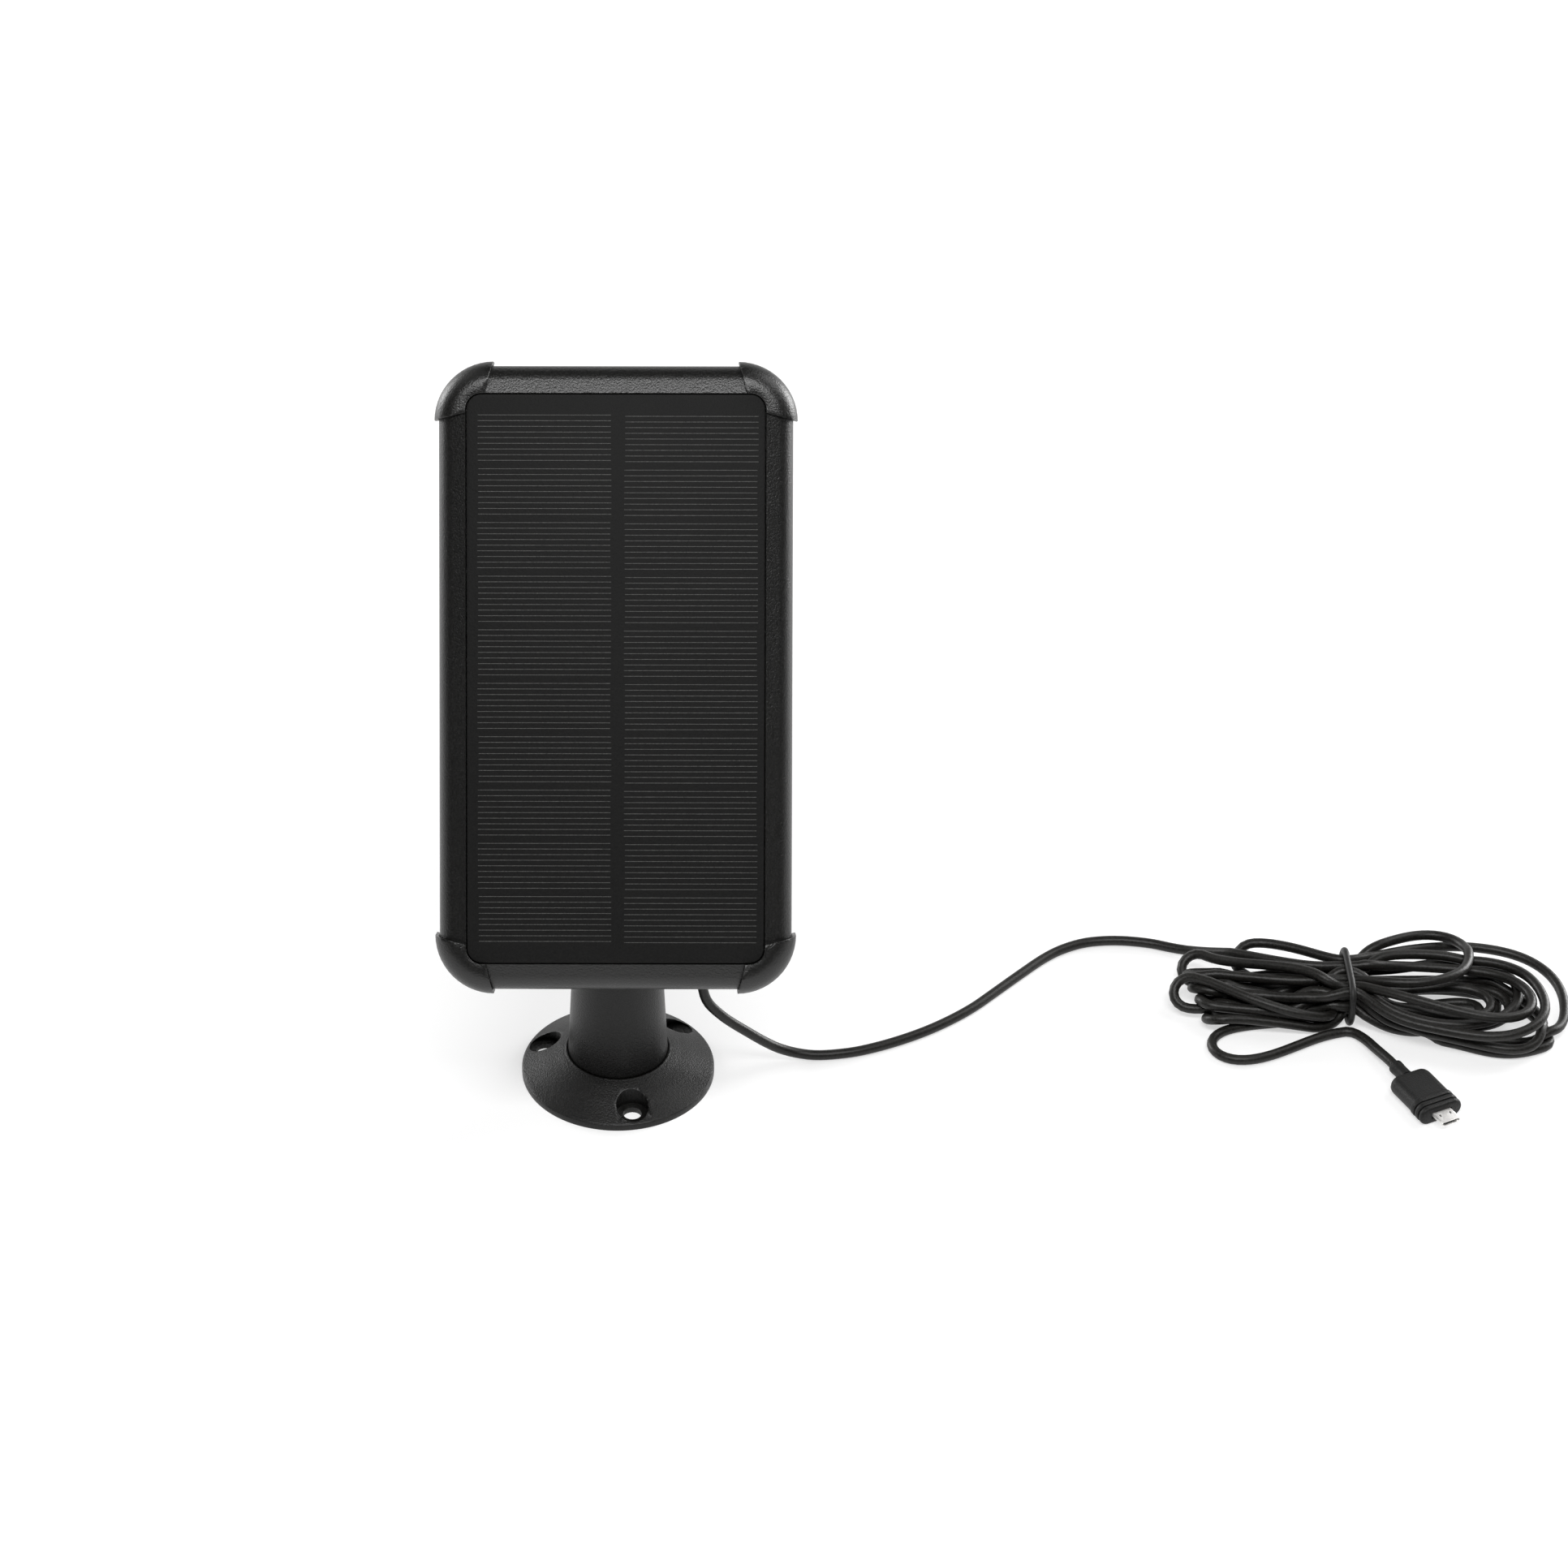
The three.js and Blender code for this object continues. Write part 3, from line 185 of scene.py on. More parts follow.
def panel_loop(inset, depth):
    """The panel's outer outline, drawn in by an inset, at a depth behind its front."""
    radius = max(OUTER_CORNER - inset, 0.5)
    outline = rounded_rect(OUTER[0] - 2 * inset, OUTER[1] - 2 * inset, radius)
    return [(x, y, -depth) for x, y in outline]


def laminate_loop(margin, depth):
    """The laminate's outline, let out by a margin, at a depth behind its front."""
    radius = max(LAMINATE_CORNER + margin, 0.5)
    outline = rounded_rect(LAMINATE[0] + 2 * margin, LAMINATE[1] + 2 * margin, radius)
    return [(x, y, -depth) for x, y in outline]


def rail_rounding(out, steps=10):
    """Loops over the rail's rounding, pushed out by a distance, from the side wall to the facet."""
    turn = math.pi / 2 - FACET_SLOPE
    facet = RAIL_WIDTH - RAIL_ROUNDING * (1 - math.cos(turn))
    centre = facet * math.tan(FACET_SLOPE) + RAIL_ROUNDING * math.sin(turn)
    radius = RAIL_ROUNDING + out
    loops = []
    for i in range(steps + 1):
        angle = turn * i / steps
        loops.append(panel_loop(RAIL_ROUNDING - radius * math.cos(angle), centre - radius * math.sin(angle)))
    return loops


def prism(name, outline, low, high, space=WORLD):
    """A solid of one outline between two heights."""
    return loft(name, [[(x, y, low) for x, y in outline], [(x, y, high) for x, y in outline]], False, space)


def hexagon():
    """Outline of a nut; NUT_CIRCLE is the radius to its corners."""
    turns = [math.pi / 3 * (i + 0.5) for i in range(6)]
    return [(NUT_CIRCLE * math.cos(turn), NUT_CIRCLE * math.sin(turn)) for turn in turns]


def apply_modifiers(obj):
    """Turns what an object's modifiers make into its own mesh."""
    graph = bpy.context.evaluated_depsgraph_get()
    made = bpy.data.meshes.new_from_object(obj.evaluated_get(graph))
    old = obj.data
    obj.modifiers.clear()
    obj.data = made
    bpy.data.meshes.remove(old)


def combine(obj, others, operation):
    """Joins or cuts obj by other objects, which are used up."""
    for other in others:
        modifier = obj.modifiers.new("combine", "BOOLEAN")
        modifier.operation = operation
        modifier.solver = "EXACT"
        modifier.object = other
        bpy.context.view_layer.update()
        apply_modifiers(obj)
        bpy.data.objects.remove(other)
    return obj


def soften(obj, width, angle, segments=2):
    """Small roundings along the edges that turn by more than an angle."""
    modifier = obj.modifiers.new("edges", "BEVEL")
    modifier.width = width * MM
    modifier.segments = segments
    modifier.limit_method = "ANGLE"
    modifier.angle_limit = math.radians(angle)
    modifier.harden_normals = True
    modifier.use_clamp_overlap = True
    bpy.context.view_layer.update()
    apply_modifiers(obj)


def shade(obj, angle):
    """Smooth shading, kept sharp along edges that turn by more than an angle."""
    mesh = obj.data
    mesh.polygons.foreach_set("use_smooth", [True] * len(mesh.polygons))
    mesh.set_sharp_from_angle(angle=math.radians(angle))


def finish_piece(obj, body, slot, material, *stands_for, angle=40):
    """Shading, material and body of a piece, and the CAD nodes that it stands for; the slot argument is not
    used.
    """
    shade(obj, angle)
    obj.data.materials.clear()
    obj.data.materials.append(material)
    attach(obj, body)
    if stands_for:
        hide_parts(*stands_for)
    return obj


# ------------------------------------------------------------------ materials
def new_material(name):
    material = bpy.data.materials.new(name)
    material.use_nodes = True
    nodes = material.node_tree.nodes
    return material, nodes, material.node_tree.links, nodes["Principled BSDF"]


def noise(nodes, links, where, scale, detail):
    node = nodes.new("ShaderNodeTexNoise")
    node.inputs["Scale"].default_value = scale
    node.inputs["Detail"].default_value = detail
    links.new(where, node.inputs["Vector"])
    return node.outputs["Fac"]


def spread(nodes, links, value, low, high):
    node = nodes.new("ShaderNodeMapRange")
    node.inputs["To Min"].default_value = low
    node.inputs["To Max"].default_value = high
    links.new(value, node.inputs["Value"])
    return node.outputs["Result"]


def moulded(name, colour, roughness, grain, grain_scale=2600, mottling=0.15, gloss=0.34):
    """Moulded plastic or rubber: fine spark-eroded grain, faint mottling and uneven gloss."""
    speckle = 1.2
    material, nodes, links, shader = new_material(name)
    place = nodes.new("ShaderNodeTexCoord").outputs["Object"]
    cloud = noise(nodes, links, place, 60, 4)
    fine = noise(nodes, links, place, grain_scale, 2)
    mix = nodes.new("ShaderNodeMix")
    mix.data_type = "RGBA"
    mix.inputs["A"].default_value = [c * (1 - mottling) for c in colour] + [1]
    mix.inputs["B"].default_value = [c * (1 + mottling) for c in colour] + [1]
    links.new(cloud, mix.inputs["Factor"])
    dust = nodes.new("ShaderNodeVectorMath")
    dust.operation = "SCALE"
    links.new(mix.outputs["Result"], dust.inputs["Vector"])
    links.new(spread(nodes, links, fine, 1 - speckle, 1 + speckle), dust.inputs["Scale"])
    links.new(dust.outputs["Vector"], shader.inputs["Base Color"])
    shader.inputs["Specular IOR Level"].default_value = gloss
    links.new(spread(nodes, links, fine, roughness - 0.08, roughness + 0.08), shader.inputs["Roughness"])
    bump = nodes.new("ShaderNodeBump")
    bump.inputs["Strength"].default_value = grain
    bump.inputs["Distance"].default_value = 0.00014
    links.new(fine, bump.inputs["Height"])
    links.new(bump.outputs["Normal"], shader.inputs["Normal"])
    return material


def metal(name, colour, roughness, brushed=False):
    """Metal with fine marks, drawn out along Z where it is brushed."""
    material, nodes, links, shader = new_material(name)
    shader.inputs["Metallic"].default_value = 1
    place = nodes.new("ShaderNodeTexCoord").outputs["Object"]
    stretch = nodes.new("ShaderNodeMapping")
    stretch.inputs["Scale"].default_value = (1, 1, 12 if brushed else 1)
    links.new(place, stretch.inputs["Vector"])
    marks = noise(nodes, links, stretch.outputs["Vector"], 900, 3)
    shader.inputs["Base Color"].default_value = (*colour, 1)
    links.new(spread(nodes, links, marks, roughness - 0.06, roughness + 0.1), shader.inputs["Roughness"])
    bump = nodes.new("ShaderNodeBump")
    bump.inputs["Strength"].default_value = 0.15
    bump.inputs["Distance"].default_value = 0.00002
    links.new(marks, bump.inputs["Height"])
    links.new(bump.outputs["Normal"], shader.inputs["Normal"])
    return material


housing_black = moulded("housing_black", (0.0075, 0.0073, 0.0069), 0.40, 0.9, 1900, 0.2, gloss=0.3)
rail_black = moulded("rail_black", (0.0055, 0.0054, 0.005), 0.36, 0.9, 1900, 0.2, gloss=0.58)
cap_black = moulded("cap_black", (0.0055, 0.0054, 0.005), 0.36, 0.8, 1900, 0.2, gloss=0.54)
cover_black = moulded("cover_black", (0.0045, 0.0045, 0.0043), 0.66, 0.9, 1500, 0.2, gloss=0.23)
line_grey = moulded("line_grey", (0.075, 0.075, 0.073), 0.55, 0.2)
rubber_black = moulded("rubber_black", (0.02, 0.02, 0.02), 0.7, 0.4)
jacket = moulded("jacket", (0.0125, 0.0118, 0.0105), 0.42, 0.5, 1600, 0.25)
tie_coat = moulded("tie_coat", (0.012, 0.012, 0.0115), 0.5, 0.2)
plug_black = moulded("plug_black", (0.008, 0.008, 0.0077), 0.5, 1.0, 2200, 0.2, gloss=0.3)
component_black = moulded("component_black", (0.02, 0.02, 0.021), 0.45, 0.2)
nylon_white = moulded("nylon_white", (0.72, 0.71, 0.66), 0.5, 0.2)
board_green = moulded("board_green", (0.02, 0.1, 0.04), 0.4, 0.2)
cell_blue = moulded("cell_blue", (0.006, 0.007, 0.016), 0.25, 0.1)
red_skin = moulded("red_skin", (0.4, 0.02, 0.02), 0.5, 0.2)
zinc = metal("zinc", (0.62, 0.62, 0.63), 0.35)
nickel = metal("nickel", (0.97, 0.96, 0.94), 0.58)
can_metal = metal("can_metal", (0.75, 0.75, 0.77), 0.3, brushed=True)


# ------------------------------------------------------------------ lead
def panel_point(x, from_pivot_up, from_pivot_out):
    """A point given from the tilt axis along the panel's axes."""
    return PANEL @ Vector((x, from_pivot_up - PIVOT_TO_CENTRE, from_pivot_out - PIVOT_TO_FRONT))


GLAND_TIP = panel_point(GLAND_X, GLAND_UP, 5.7)
GLAND_AWAY = panel_point(GLAND_X, GLAND_UP, 2.7)
LEAD_ROUTE = [
    (24.4, -5.8, 55.4), (25.1, -2.9, 49.5), (26.4, -2.4, 40.5), (28.3, -2.5, 30.5), (32.5, -1.7, 24.4),
    (36.5, -0.4, 19.8), (41.8, 1.2, 14.6), (47.1, 3, 9.4), (52.4, 4.8, 5), (58.7, 5.7, 2.3),
    (64.7, 5.6, 1.7), (75.6, 7.1, 1.7), (83.6, 9.8, 1.7), (91.5, 13.4, 1.7), (99.6, 17.9, 1.7),
    (107.7, 23.5, 1.7), (116, 30.5, 1.7), (124.2, 39.2, 1.7), (132.7, 48.4, 1.7),
    (141.4, 57.4, 1.7), (147.5, 62.2, 1.7), (155.1, 65.9, 1.7), (162.2, 67.2, 1.7), (167.6, 67.3, 1.7),
    (173, 66.7, 1.7), (178.3, 65.6, 1.7), (185.1, 62.8, 2), (190.9, 60, 3),
]
PLUG_PLACE = Vector((253.5, -7.7, 3.25))
PLUG_HEADING = math.radians(-63.8)
PLUG_AHEAD = Vector((math.cos(PLUG_HEADING), math.sin(PLUG_HEADING), 0))
NECK_LENGTH = 7.2
LEAD_IN = [(197.3, 54.8, 7), (205.2, 49.4, 10.5), (213, 43.9, 12.5), (220, 40.4, 13.5), (228, 37.3, 14)]
TAIL_ROUTE = [(242.4, 14.4, 2.1), (245.5, 8.6, 2.5)]
GUIDE_STEP = 2.2
LEAD_STEP = 2.0
TAIL_HELD = 26
BEND_RADIUS = 5.2
SKIN_GAP = 0.05
WAIST_X = 238.8
WAIST_Y = 33.3
WAIST_HALF = 3
WAIST_WIDTH = 24.6
WAIST_CORNER = 5
HANK_HEIGHT = 16
TIE_RADIUS = 1.1
PLUG_WIDTH = 15.5
PLUG_THICKNESS = 6.5
PLUG_LENGTH = 19.5
SHELL_WIDTH = 6.85
SHELL_THICKNESS = 1.8
SHELL_LENGTH = 5.2
SHELL_BURIED = 5

# Stretches of the wound lead in the order they are laid. Each leaves the tie, rounds one end of the hank
# and comes back; these are centre points, which the settling then eases.
HANK_LOOPS = [
    # the top strand, laid over the others
    [(253.9, 41.1, 12), (277.9, 39, 12), (291.7, 34, 13), (298, 23.9, 13.5), (296.3, 14.3, 13.5),
     (288.2, 9.8, 14), (279.1, 9.8, 15), (267.2, 13.4, 16), (250.4, 21, 16.5)],
    # where it goes on to the far left
    [(226.7, 34.2, 15.5), (217.8, 37.2, 15), (205, 42.3, 12), (194.2, 49.4, 8), (186.8, 52, 6),
     (183.7, 48.4, 5), (187.1, 44.9, 4), (198.1, 44.4, 3), (216.1, 42.3, 2)],
    # inner right
    [(256.1, 42.2, 2), (273.1, 44.1, 3), (285, 40.1, 3.5), (289.8, 32, 3), (285.7, 24, 2),
     (270.6, 22, 2), (252.7, 24.1, 2)],
    # low left
    [(233.6, 21.1, 3.5), (208.5, 20.2, 6), (195.5, 21.2, 6), (189.6, 23.3, 4.5), (191.2, 27.3, 3),
     (197.8, 29.3, 2), (215.8, 28.2, 2)],
    # outermost on the right
    [(250.5, 18, 2), (264.5, 17, 2.5), (286.4, 13.9, 2.5), (300.3, 10.8, 2), (307.4, 16.8, 4),
     (310.2, 26.9, 6), (309, 41, 7), (300.2, 51.6, 8), (280.3, 56.1, 9), (260.2, 51.2, 11)],
    # highest on the left
    [(224.1, 49.3, 13), (212.2, 53.9, 12), (205.2, 53.4, 11), (201.7, 49.4, 8), (204.1, 45.4, 5),
     (213.1, 42.3, 3)],
    # lowest right
    [(253, 40.2, 2), (276.1, 41.1, 2), (296.8, 32, 2), (303.5, 18.9, 2), (302.4, 12.8, 2),
     (296.3, 7.3, 2), (288.2, 4.8, 2), (280.2, 6.9, 2), (272.4, 12.9, 2), (258.5, 19, 2)],
    # left
    [(225.5, 20.1, 7), (208.5, 22.2, 8), (191.6, 25.3, 7.5), (187.2, 28.3, 6), (189.8, 31.8, 4.5),
     (200.9, 33.3, 3)],
    # inner right
    [(255.9, 36.1, 5), (273, 39.1, 6), (285.9, 36, 6.5), (292.7, 28.9, 6), (289.5, 20.9, 5),
     (276.5, 16.9, 4.5), (255.5, 20, 5)],
    # outermost on the left
    [(233.5, 20.1, 7), (220.4, 18.1, 10), (207.5, 22.2, 12), (195.7, 30.3, 12), (183.8, 36.3, 10),
     (180.3, 34.4, 8), (181.2, 30.3, 6), (187.7, 28.3, 4), (205.8, 28.3, 2.5)],
    # low right, its tip showing under the others
    [(252.5, 20, 5), (268.4, 12.9, 5), (279.2, 7.9, 4), (288.2, 4.8, 4), (297.2, 6.3, 4),
     (302.3, 12.8, 5), (300.6, 24.9, 6), (288.9, 37, 6), (266, 42.1, 5)],
    # inner left
    [(222.9, 38.2, 6), (207, 40.3, 6), (199, 39.3, 6), (195.9, 35.3, 5), (198.8, 32.3, 4),
     (212.8, 33.3, 4)],
    # second from the top on the right
    [(244.9, 42.2, 14), (263, 45.1, 14), (279.9, 43, 14), (296.8, 35.9, 14), (301.5, 22.8, 14),
     (301.3, 13.8, 13), (295.1, 6.8, 12), (283.1, 3.8, 11), (267.2, 7.9, 11), (250.3, 13.5, 11.5)],
    # left
    [(225.6, 25.1, 10), (200.7, 31.3, 9), (188.8, 33.3, 8), (185.9, 36.4, 6.5), (189, 39.4, 5),
     (201, 38.3, 4)],
    # inner right
    [(255.8, 32.1, 8), (270.8, 34, 9), (281.8, 32, 9), (286.6, 25.4, 8.5), (281.5, 18.9, 8),
     (268.4, 18, 8), (252.5, 21, 8)],
    # inner left
    [(222.7, 29.2, 6.5), (204.8, 32.3, 7), (194.8, 34.3, 6.5), (192.4, 37.3, 5), (196, 41.4, 3.5),
     (211, 40.3, 2.5)],
    # small loop on top
    [(247.1, 48.2, 14), (255.2, 52.2, 14), (266.3, 57.2, 13), (275.2, 55.1, 13.5), (280, 47.1, 14.5),
     (278.8, 36, 16), (272.5, 28, 17.5), (259.4, 24, 17.5), (247.5, 27, 16.5)],
    # left
    [(225.7, 32.2, 12), (217.7, 32.2, 12.5), (196.8, 37.3, 11), (186.9, 38.9, 9), (185, 42.4, 7),
     (189.1, 45.4, 5.5), (203.1, 43.3, 4.5)],
    # inner right
    [(257.1, 44.2, 8), (276.1, 48.1, 9), (290, 43, 10), (295.7, 31.9, 10), (291.5, 19.9, 9.5),
     (278.3, 12.9, 9), (256.4, 17, 8.5)],
    # inner left
    [(220.7, 25.2, 4), (204.7, 26.2, 4), (196.7, 27.3, 3.5), (193.3, 31.3, 2.5), (197.9, 36.3, 2),
     (212.9, 36.3, 2)],
    # inner right
    [(252.8, 29.1, 2.5), (268.8, 31.1, 4), (278.8, 31, 4.5), (283.7, 26, 4), (278.6, 20.5, 3),
     (265.6, 20, 2.5), (250.6, 23.1, 2)],
]
TAIL_LOOP = [
    (222.7, 23.7, 1.8), (212.6, 22.7, 1.8), (202.6, 21.2, 1.7), (195.8, 18.7, 1.7), (192, 14.2, 1.7),
    (192.1, 8.2, 1.7), (196.8, 3.3, 1.7), (203.6, 2.7, 1.7), (211.6, 5.5, 1.7), (221.8, 11.7, 1.7),
    (231.2, 17.3, 1.7),
]


def catmull(points, step):
    """Points every step along a centripetal Catmull-Rom curve through the given points."""
    points = [np.array(p, float) for p in points]
    ends = [2 * points[0] - points[1], *points, 2 * points[-1] - points[-2]]
    fine = []
    for p0, p1, p2, p3 in zip(ends, ends[1:], ends[2:], ends[3:]):
        t0 = 0.0
        t1 = t0 + max(np.linalg.norm(p1 - p0), 1e-6) ** 0.5
        t2 = t1 + max(np.linalg.norm(p2 - p1), 1e-6) ** 0.5
        t3 = t2 + max(np.linalg.norm(p3 - p2), 1e-6) ** 0.5
        for t in np.linspace(t1, t2, 24, endpoint=False):
            a1 = (t1 - t) / (t1 - t0) * p0 + (t - t0) / (t1 - t0) * p1
            a2 = (t2 - t) / (t2 - t1) * p1 + (t - t1) / (t2 - t1) * p2
            a3 = (t3 - t) / (t3 - t2) * p2 + (t - t2) / (t3 - t2) * p3
            b1 = (t2 - t) / (t2 - t0) * a1 + (t - t0) / (t2 - t0) * a2
            b2 = (t3 - t) / (t3 - t1) * a2 + (t - t1) / (t3 - t1) * a3
            fine.append((t2 - t) / (t2 - t1) * b1 + (t - t1) / (t2 - t1) * b2)
    fine.append(points[-1])
    return resample(np.array(fine), step)


def resample(line, step):
    """Points about a step apart along a line."""
    along = np.concatenate([[0], np.cumsum(np.linalg.norm(np.diff(line, axis=0), axis=1))])
    count = max(2, round(along[-1] / step) + 1)
    want = np.linspace(0, along[-1], count)
    return np.stack([np.interp(want, along, line[:, k]) for k in range(3)], 1)


def waist_slots():
    """Places of the strands under the tie, as (y, z), in rows from the floor up."""
    rows = [(5, 4.3), (6, 7.2), (5, 10.1), (6, 13.0)]
    pitch = 3.6
    return [(WAIST_Y + (i - (count - 1) / 2) * pitch, z) for count, z in rows for i in range(count)]


def through_waist(before, after, slots):
    """The free slot that fits best between the stretches before and after the tie; it is then taken."""
    y = (before[1] + after[1]) / 2
    z = (before[2] + after[2]) / 2
    best = min(slots, key=lambda slot: abs(slot[0] - y) + 1.2 * abs(slot[1] - z))
    slots.remove(best)
    return [(WAIST_X - WAIST_HALF, *best), (WAIST_X + WAIST_HALF, *best)]


def hank_guide():
    """Guide points of the wound stretch, from the incoming lead to the loop that ends in the plug."""
    stretches = [LEAD_IN, *HANK_LOOPS, TAIL_LOOP]
    slots = waist_slots()
    points = list(LEAD_IN)
    for before, after in zip(stretches, stretches[1:]):
        tie = through_waist(before[-1], after[0], slots)
        if before[-1][0] > WAIST_X:
            tie.reverse()
        points += tie + list(after)
    return points


def keep_round(line, step, radius):
    """Pushes points apart along the cord wherever it bends tighter than a radius."""
    for span in (2, 4, 6, 8):
        least = 2 * radius * math.sin(min(span * step / (2 * radius), math.pi / 2)) * 0.99
        d = line[span:] - line[:-span]
        long = np.maximum(np.linalg.norm(d, axis=1), 1e-6)
        push = (0.5 * np.maximum(least - long, 0) / long)[:, None] * d
        line[:-span] -= 0.5 * push
        line[span:] += 0.5 * push


def settle(line, fixed, pinned):
    """Lets the wound cord settle: it keeps its length, rests on the floor and on itself, and stays round."""
    rounds = 320
    look_again = 8
    passes = 4
    easing = 0.3
    homing = 0.014
    sinking = 0.01
    step = np.linalg.norm(np.diff(line, axis=0), axis=1)
    home = line.copy()
    thick = 2 * CORD_RADIUS + SKIN_GAP
    apart = int(math.ceil(2.4 * thick / step.mean()))
    for turn in range(rounds):
        line[1:-1] += easing * ((line[:-2] + line[2:]) / 2 - line[1:-1])
        line += homing * (home - line)
        line[:, 2] -= sinking
        if turn % look_again == 0:
            gaps = np.linalg.norm(line[:, None] - line[None], axis=2)
            i, j = np.where(gaps < 2.2 * thick)
            keep = j - i > apart
            i = i[keep]
            j = j[keep]
        for _ in range(passes):
            d = line[1:] - line[:-1]
            long = np.linalg.norm(d, axis=1)
            push = 0.45 * ((long - step) / long)[:, None] * d
            line[:-1] += push
            line[1:] -= push
            keep_round(line, step.mean(), BEND_RADIUS)
            d = line[j] - line[i]
            long = np.maximum(np.linalg.norm(d, axis=1), 1e-6)
            near = long < thick
            move = (0.5 * (thick - long[near]) / long[near])[:, None] * d[near]
            shove = np.zeros_like(line)
            share = np.zeros(len(line))
            np.add.at(shove, i[near], -move)
            np.add.at(shove, j[near], move)
            np.add.at(share, i[near], 1)
            np.add.at(share, j[near], 1)
            line += shove / np.maximum(share, 1)[:, None] * 1.1
            line[:, 2] = np.maximum(line[:, 2], CORD_RADIUS + SKIN_GAP)
            line[fixed] = home[fixed]
            line[pinned, 1:] += 0.5 * (home[pinned, 1:] - line[pinned, 1:])
    return line


def lead_line():
    """The lead's whole centre line, from the gland to the plug's neck, in millimetres."""
    neck_end = PLUG_PLACE - PLUG_AHEAD * (NECK_LENGTH + GAP)
    start = [tuple(GLAND_TIP), tuple(GLAND_AWAY), *LEAD_ROUTE]
    tail = [(WAIST_X, 17.9, 1.8), *TAIL_ROUTE, tuple(neck_end - PLUG_AHEAD * 2.5), tuple(neck_end)]
    line = catmull(start + hank_guide() + tail, GUIDE_STEP)
    last_laid = np.argmin(np.linalg.norm(line - np.array(LEAD_ROUTE[-1]), axis=1))
    tail_start = len(line) - int(TAIL_HELD / GUIDE_STEP)
    index = np.arange(len(line))
    fixed = (index <= last_laid) | (index >= tail_start)
    pinned = (np.abs(line[:, 0] - WAIST_X) < WAIST_HALF + 0.5) & ~fixed
    return resample(settle(line, fixed, pinned), LEAD_STEP)


def sweep(name, line, radius):
    """A round tube along a line, on frames carried along without twist, with flat ends."""
    sides = 14
    line = np.asarray(line, float)
    tangent = np.gradient(line, axis=0)
    tangent /= np.linalg.norm(tangent, axis=1)[:, None]
    side = np.cross(tangent[0], (0, 0, 1.0))
    if np.linalg.norm(side) < 0.1:
        side = np.cross(tangent[0], (1.0, 0, 0))
    side /= np.linalg.norm(side)
    loops = []
    for point, ahead in zip(line, tangent):
        side = side - ahead * side.dot(ahead)
        side /= np.linalg.norm(side)
        up = np.cross(ahead, side)
        loops.append([tuple(point + radius * (math.cos(2 * math.pi * k / sides) * side
                                              + math.sin(2 * math.pi * k / sides) * up))
                      for k in range(sides)])
    return loft(name, loops, False)


def make_lead():
    """The whole lead as one tube, running from the panel down to the floor."""
    line = lead_line()
    lead = sweep("lead_cord", line, CORD_RADIUS)
    shade(lead, 60)
    lead.data.materials.append(jacket)
    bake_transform(lead)
    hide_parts("power_cable", "cable_hank", "cable_tail")
    return lead, line


make_camera()
lead, lead_path = make_lead()


# ------------------------------------------------------------------ what is on the lead
def hank_tie():
    """A round coated wire bent round the waist of the hank."""
    low = 2 * TIE_RADIUS + GAP + 0.1
    high = HANK_HEIGHT - 1
    out = GAP + TIE_RADIUS
    outline = rounded_rect(WAIST_WIDTH + 2 * out, high - low + 2 * out, WAIST_CORNER + out, 16)
    count = len(outline)
    sides = 14
    loops = []
    for i, (y, z) in enumerate(outline):
        before = outline[i - 1]
        after = outline[(i + 1) % count]
        normal = Vector((0, after[1] - before[1], before[0] - after[0])).normalized()
        middle = Vector((WAIST_X, WAIST_Y + y, (low + high) / 2 + z))
        ring = []
        for k in range(sides):
            angle = 2 * math.pi * k / sides
            ring.append(middle + TIE_RADIUS * (math.cos(angle) * normal + Vector((math.sin(angle), 0, 0))))
        loops.append(ring)
    tie = loft("hank_tie", loops, True)
    return finish_piece(tie, "post", "tie_wire", tie_coat, "cable_tie", angle=60)


def plug_space():
    """Along the plug: X up, Y across, Z from the lead to the tip."""
    across = Vector((math.sin(PLUG_HEADING), -math.cos(PLUG_HEADING), 0))
    matrix = Matrix((Vector((0, 0, 1)), across, PLUG_AHEAD)).transposed().to_4x4()
    matrix.translation = PLUG_PLACE
    return matrix


PLUG = plug_space()


def plug_moulding():
    """The sealed plug's body: rounded behind, with two raised ribs and a front bead parted by grooves."""
    front = PLUG_LENGTH
    sections = [
        (0, 2.6, 1.2), (0.15, 1.9, 0.8), (0.5, 1.25, 0.5), (1.1, 0.72, 0.3), (2.0, 0.42, 0.22),
        (2.8, 0.35, 0.2),
        (front - 6.7, 0.35, 0.2), (front - 6.5, 0.3, 0.17), (front - 6.2, 0.05, 0.02), (front - 5.9, 0, 0),
        (front - 4.8, 0, 0), (front - 4.5, 0.1, 0.1), (front - 4.4, 0.55, 0.5), (front - 4.0, 0.55, 0.5),
        (front - 3.9, 0.1, 0.1), (front - 3.6, 0, 0), (front - 2.6, 0, 0), (front - 2.3, 0.1, 0.1),
        (front - 2.2, 0.55, 0.5), (front - 1.8, 0.55, 0.5), (front - 1.7, 0.15, 0.12),
        (front - 1.4, 0.03, 0.02),
        (front - 0.7, 0.05, 0.05), (front - 0.25, 0.25, 0.25), (front, 0.7, 0.65),
    ]
    loops = []
    for along, side, flat in sections:
        width = PLUG_WIDTH - 2 * side
        thick = PLUG_THICKNESS - 2 * flat
        outline = rounded_rect(thick, width, min(thick, width) / 2 * 0.96, 12)
        loops.append([(x, y, along) for x, y in outline])
    body = loft("plug_moulding", loops, False, PLUG)
    socket = rounded_rect(SHELL_THICKNESS + 2 * GAP, SHELL_WIDTH + 2 * GAP, 0.3, 3)
    combine(body, [prism("socket", socket, front - SHELL_BURIED, front + 1, PLUG)], "DIFFERENCE")
    return finish_piece(body, "post", "plug_moulding", plug_black, "plug_body", angle=50)


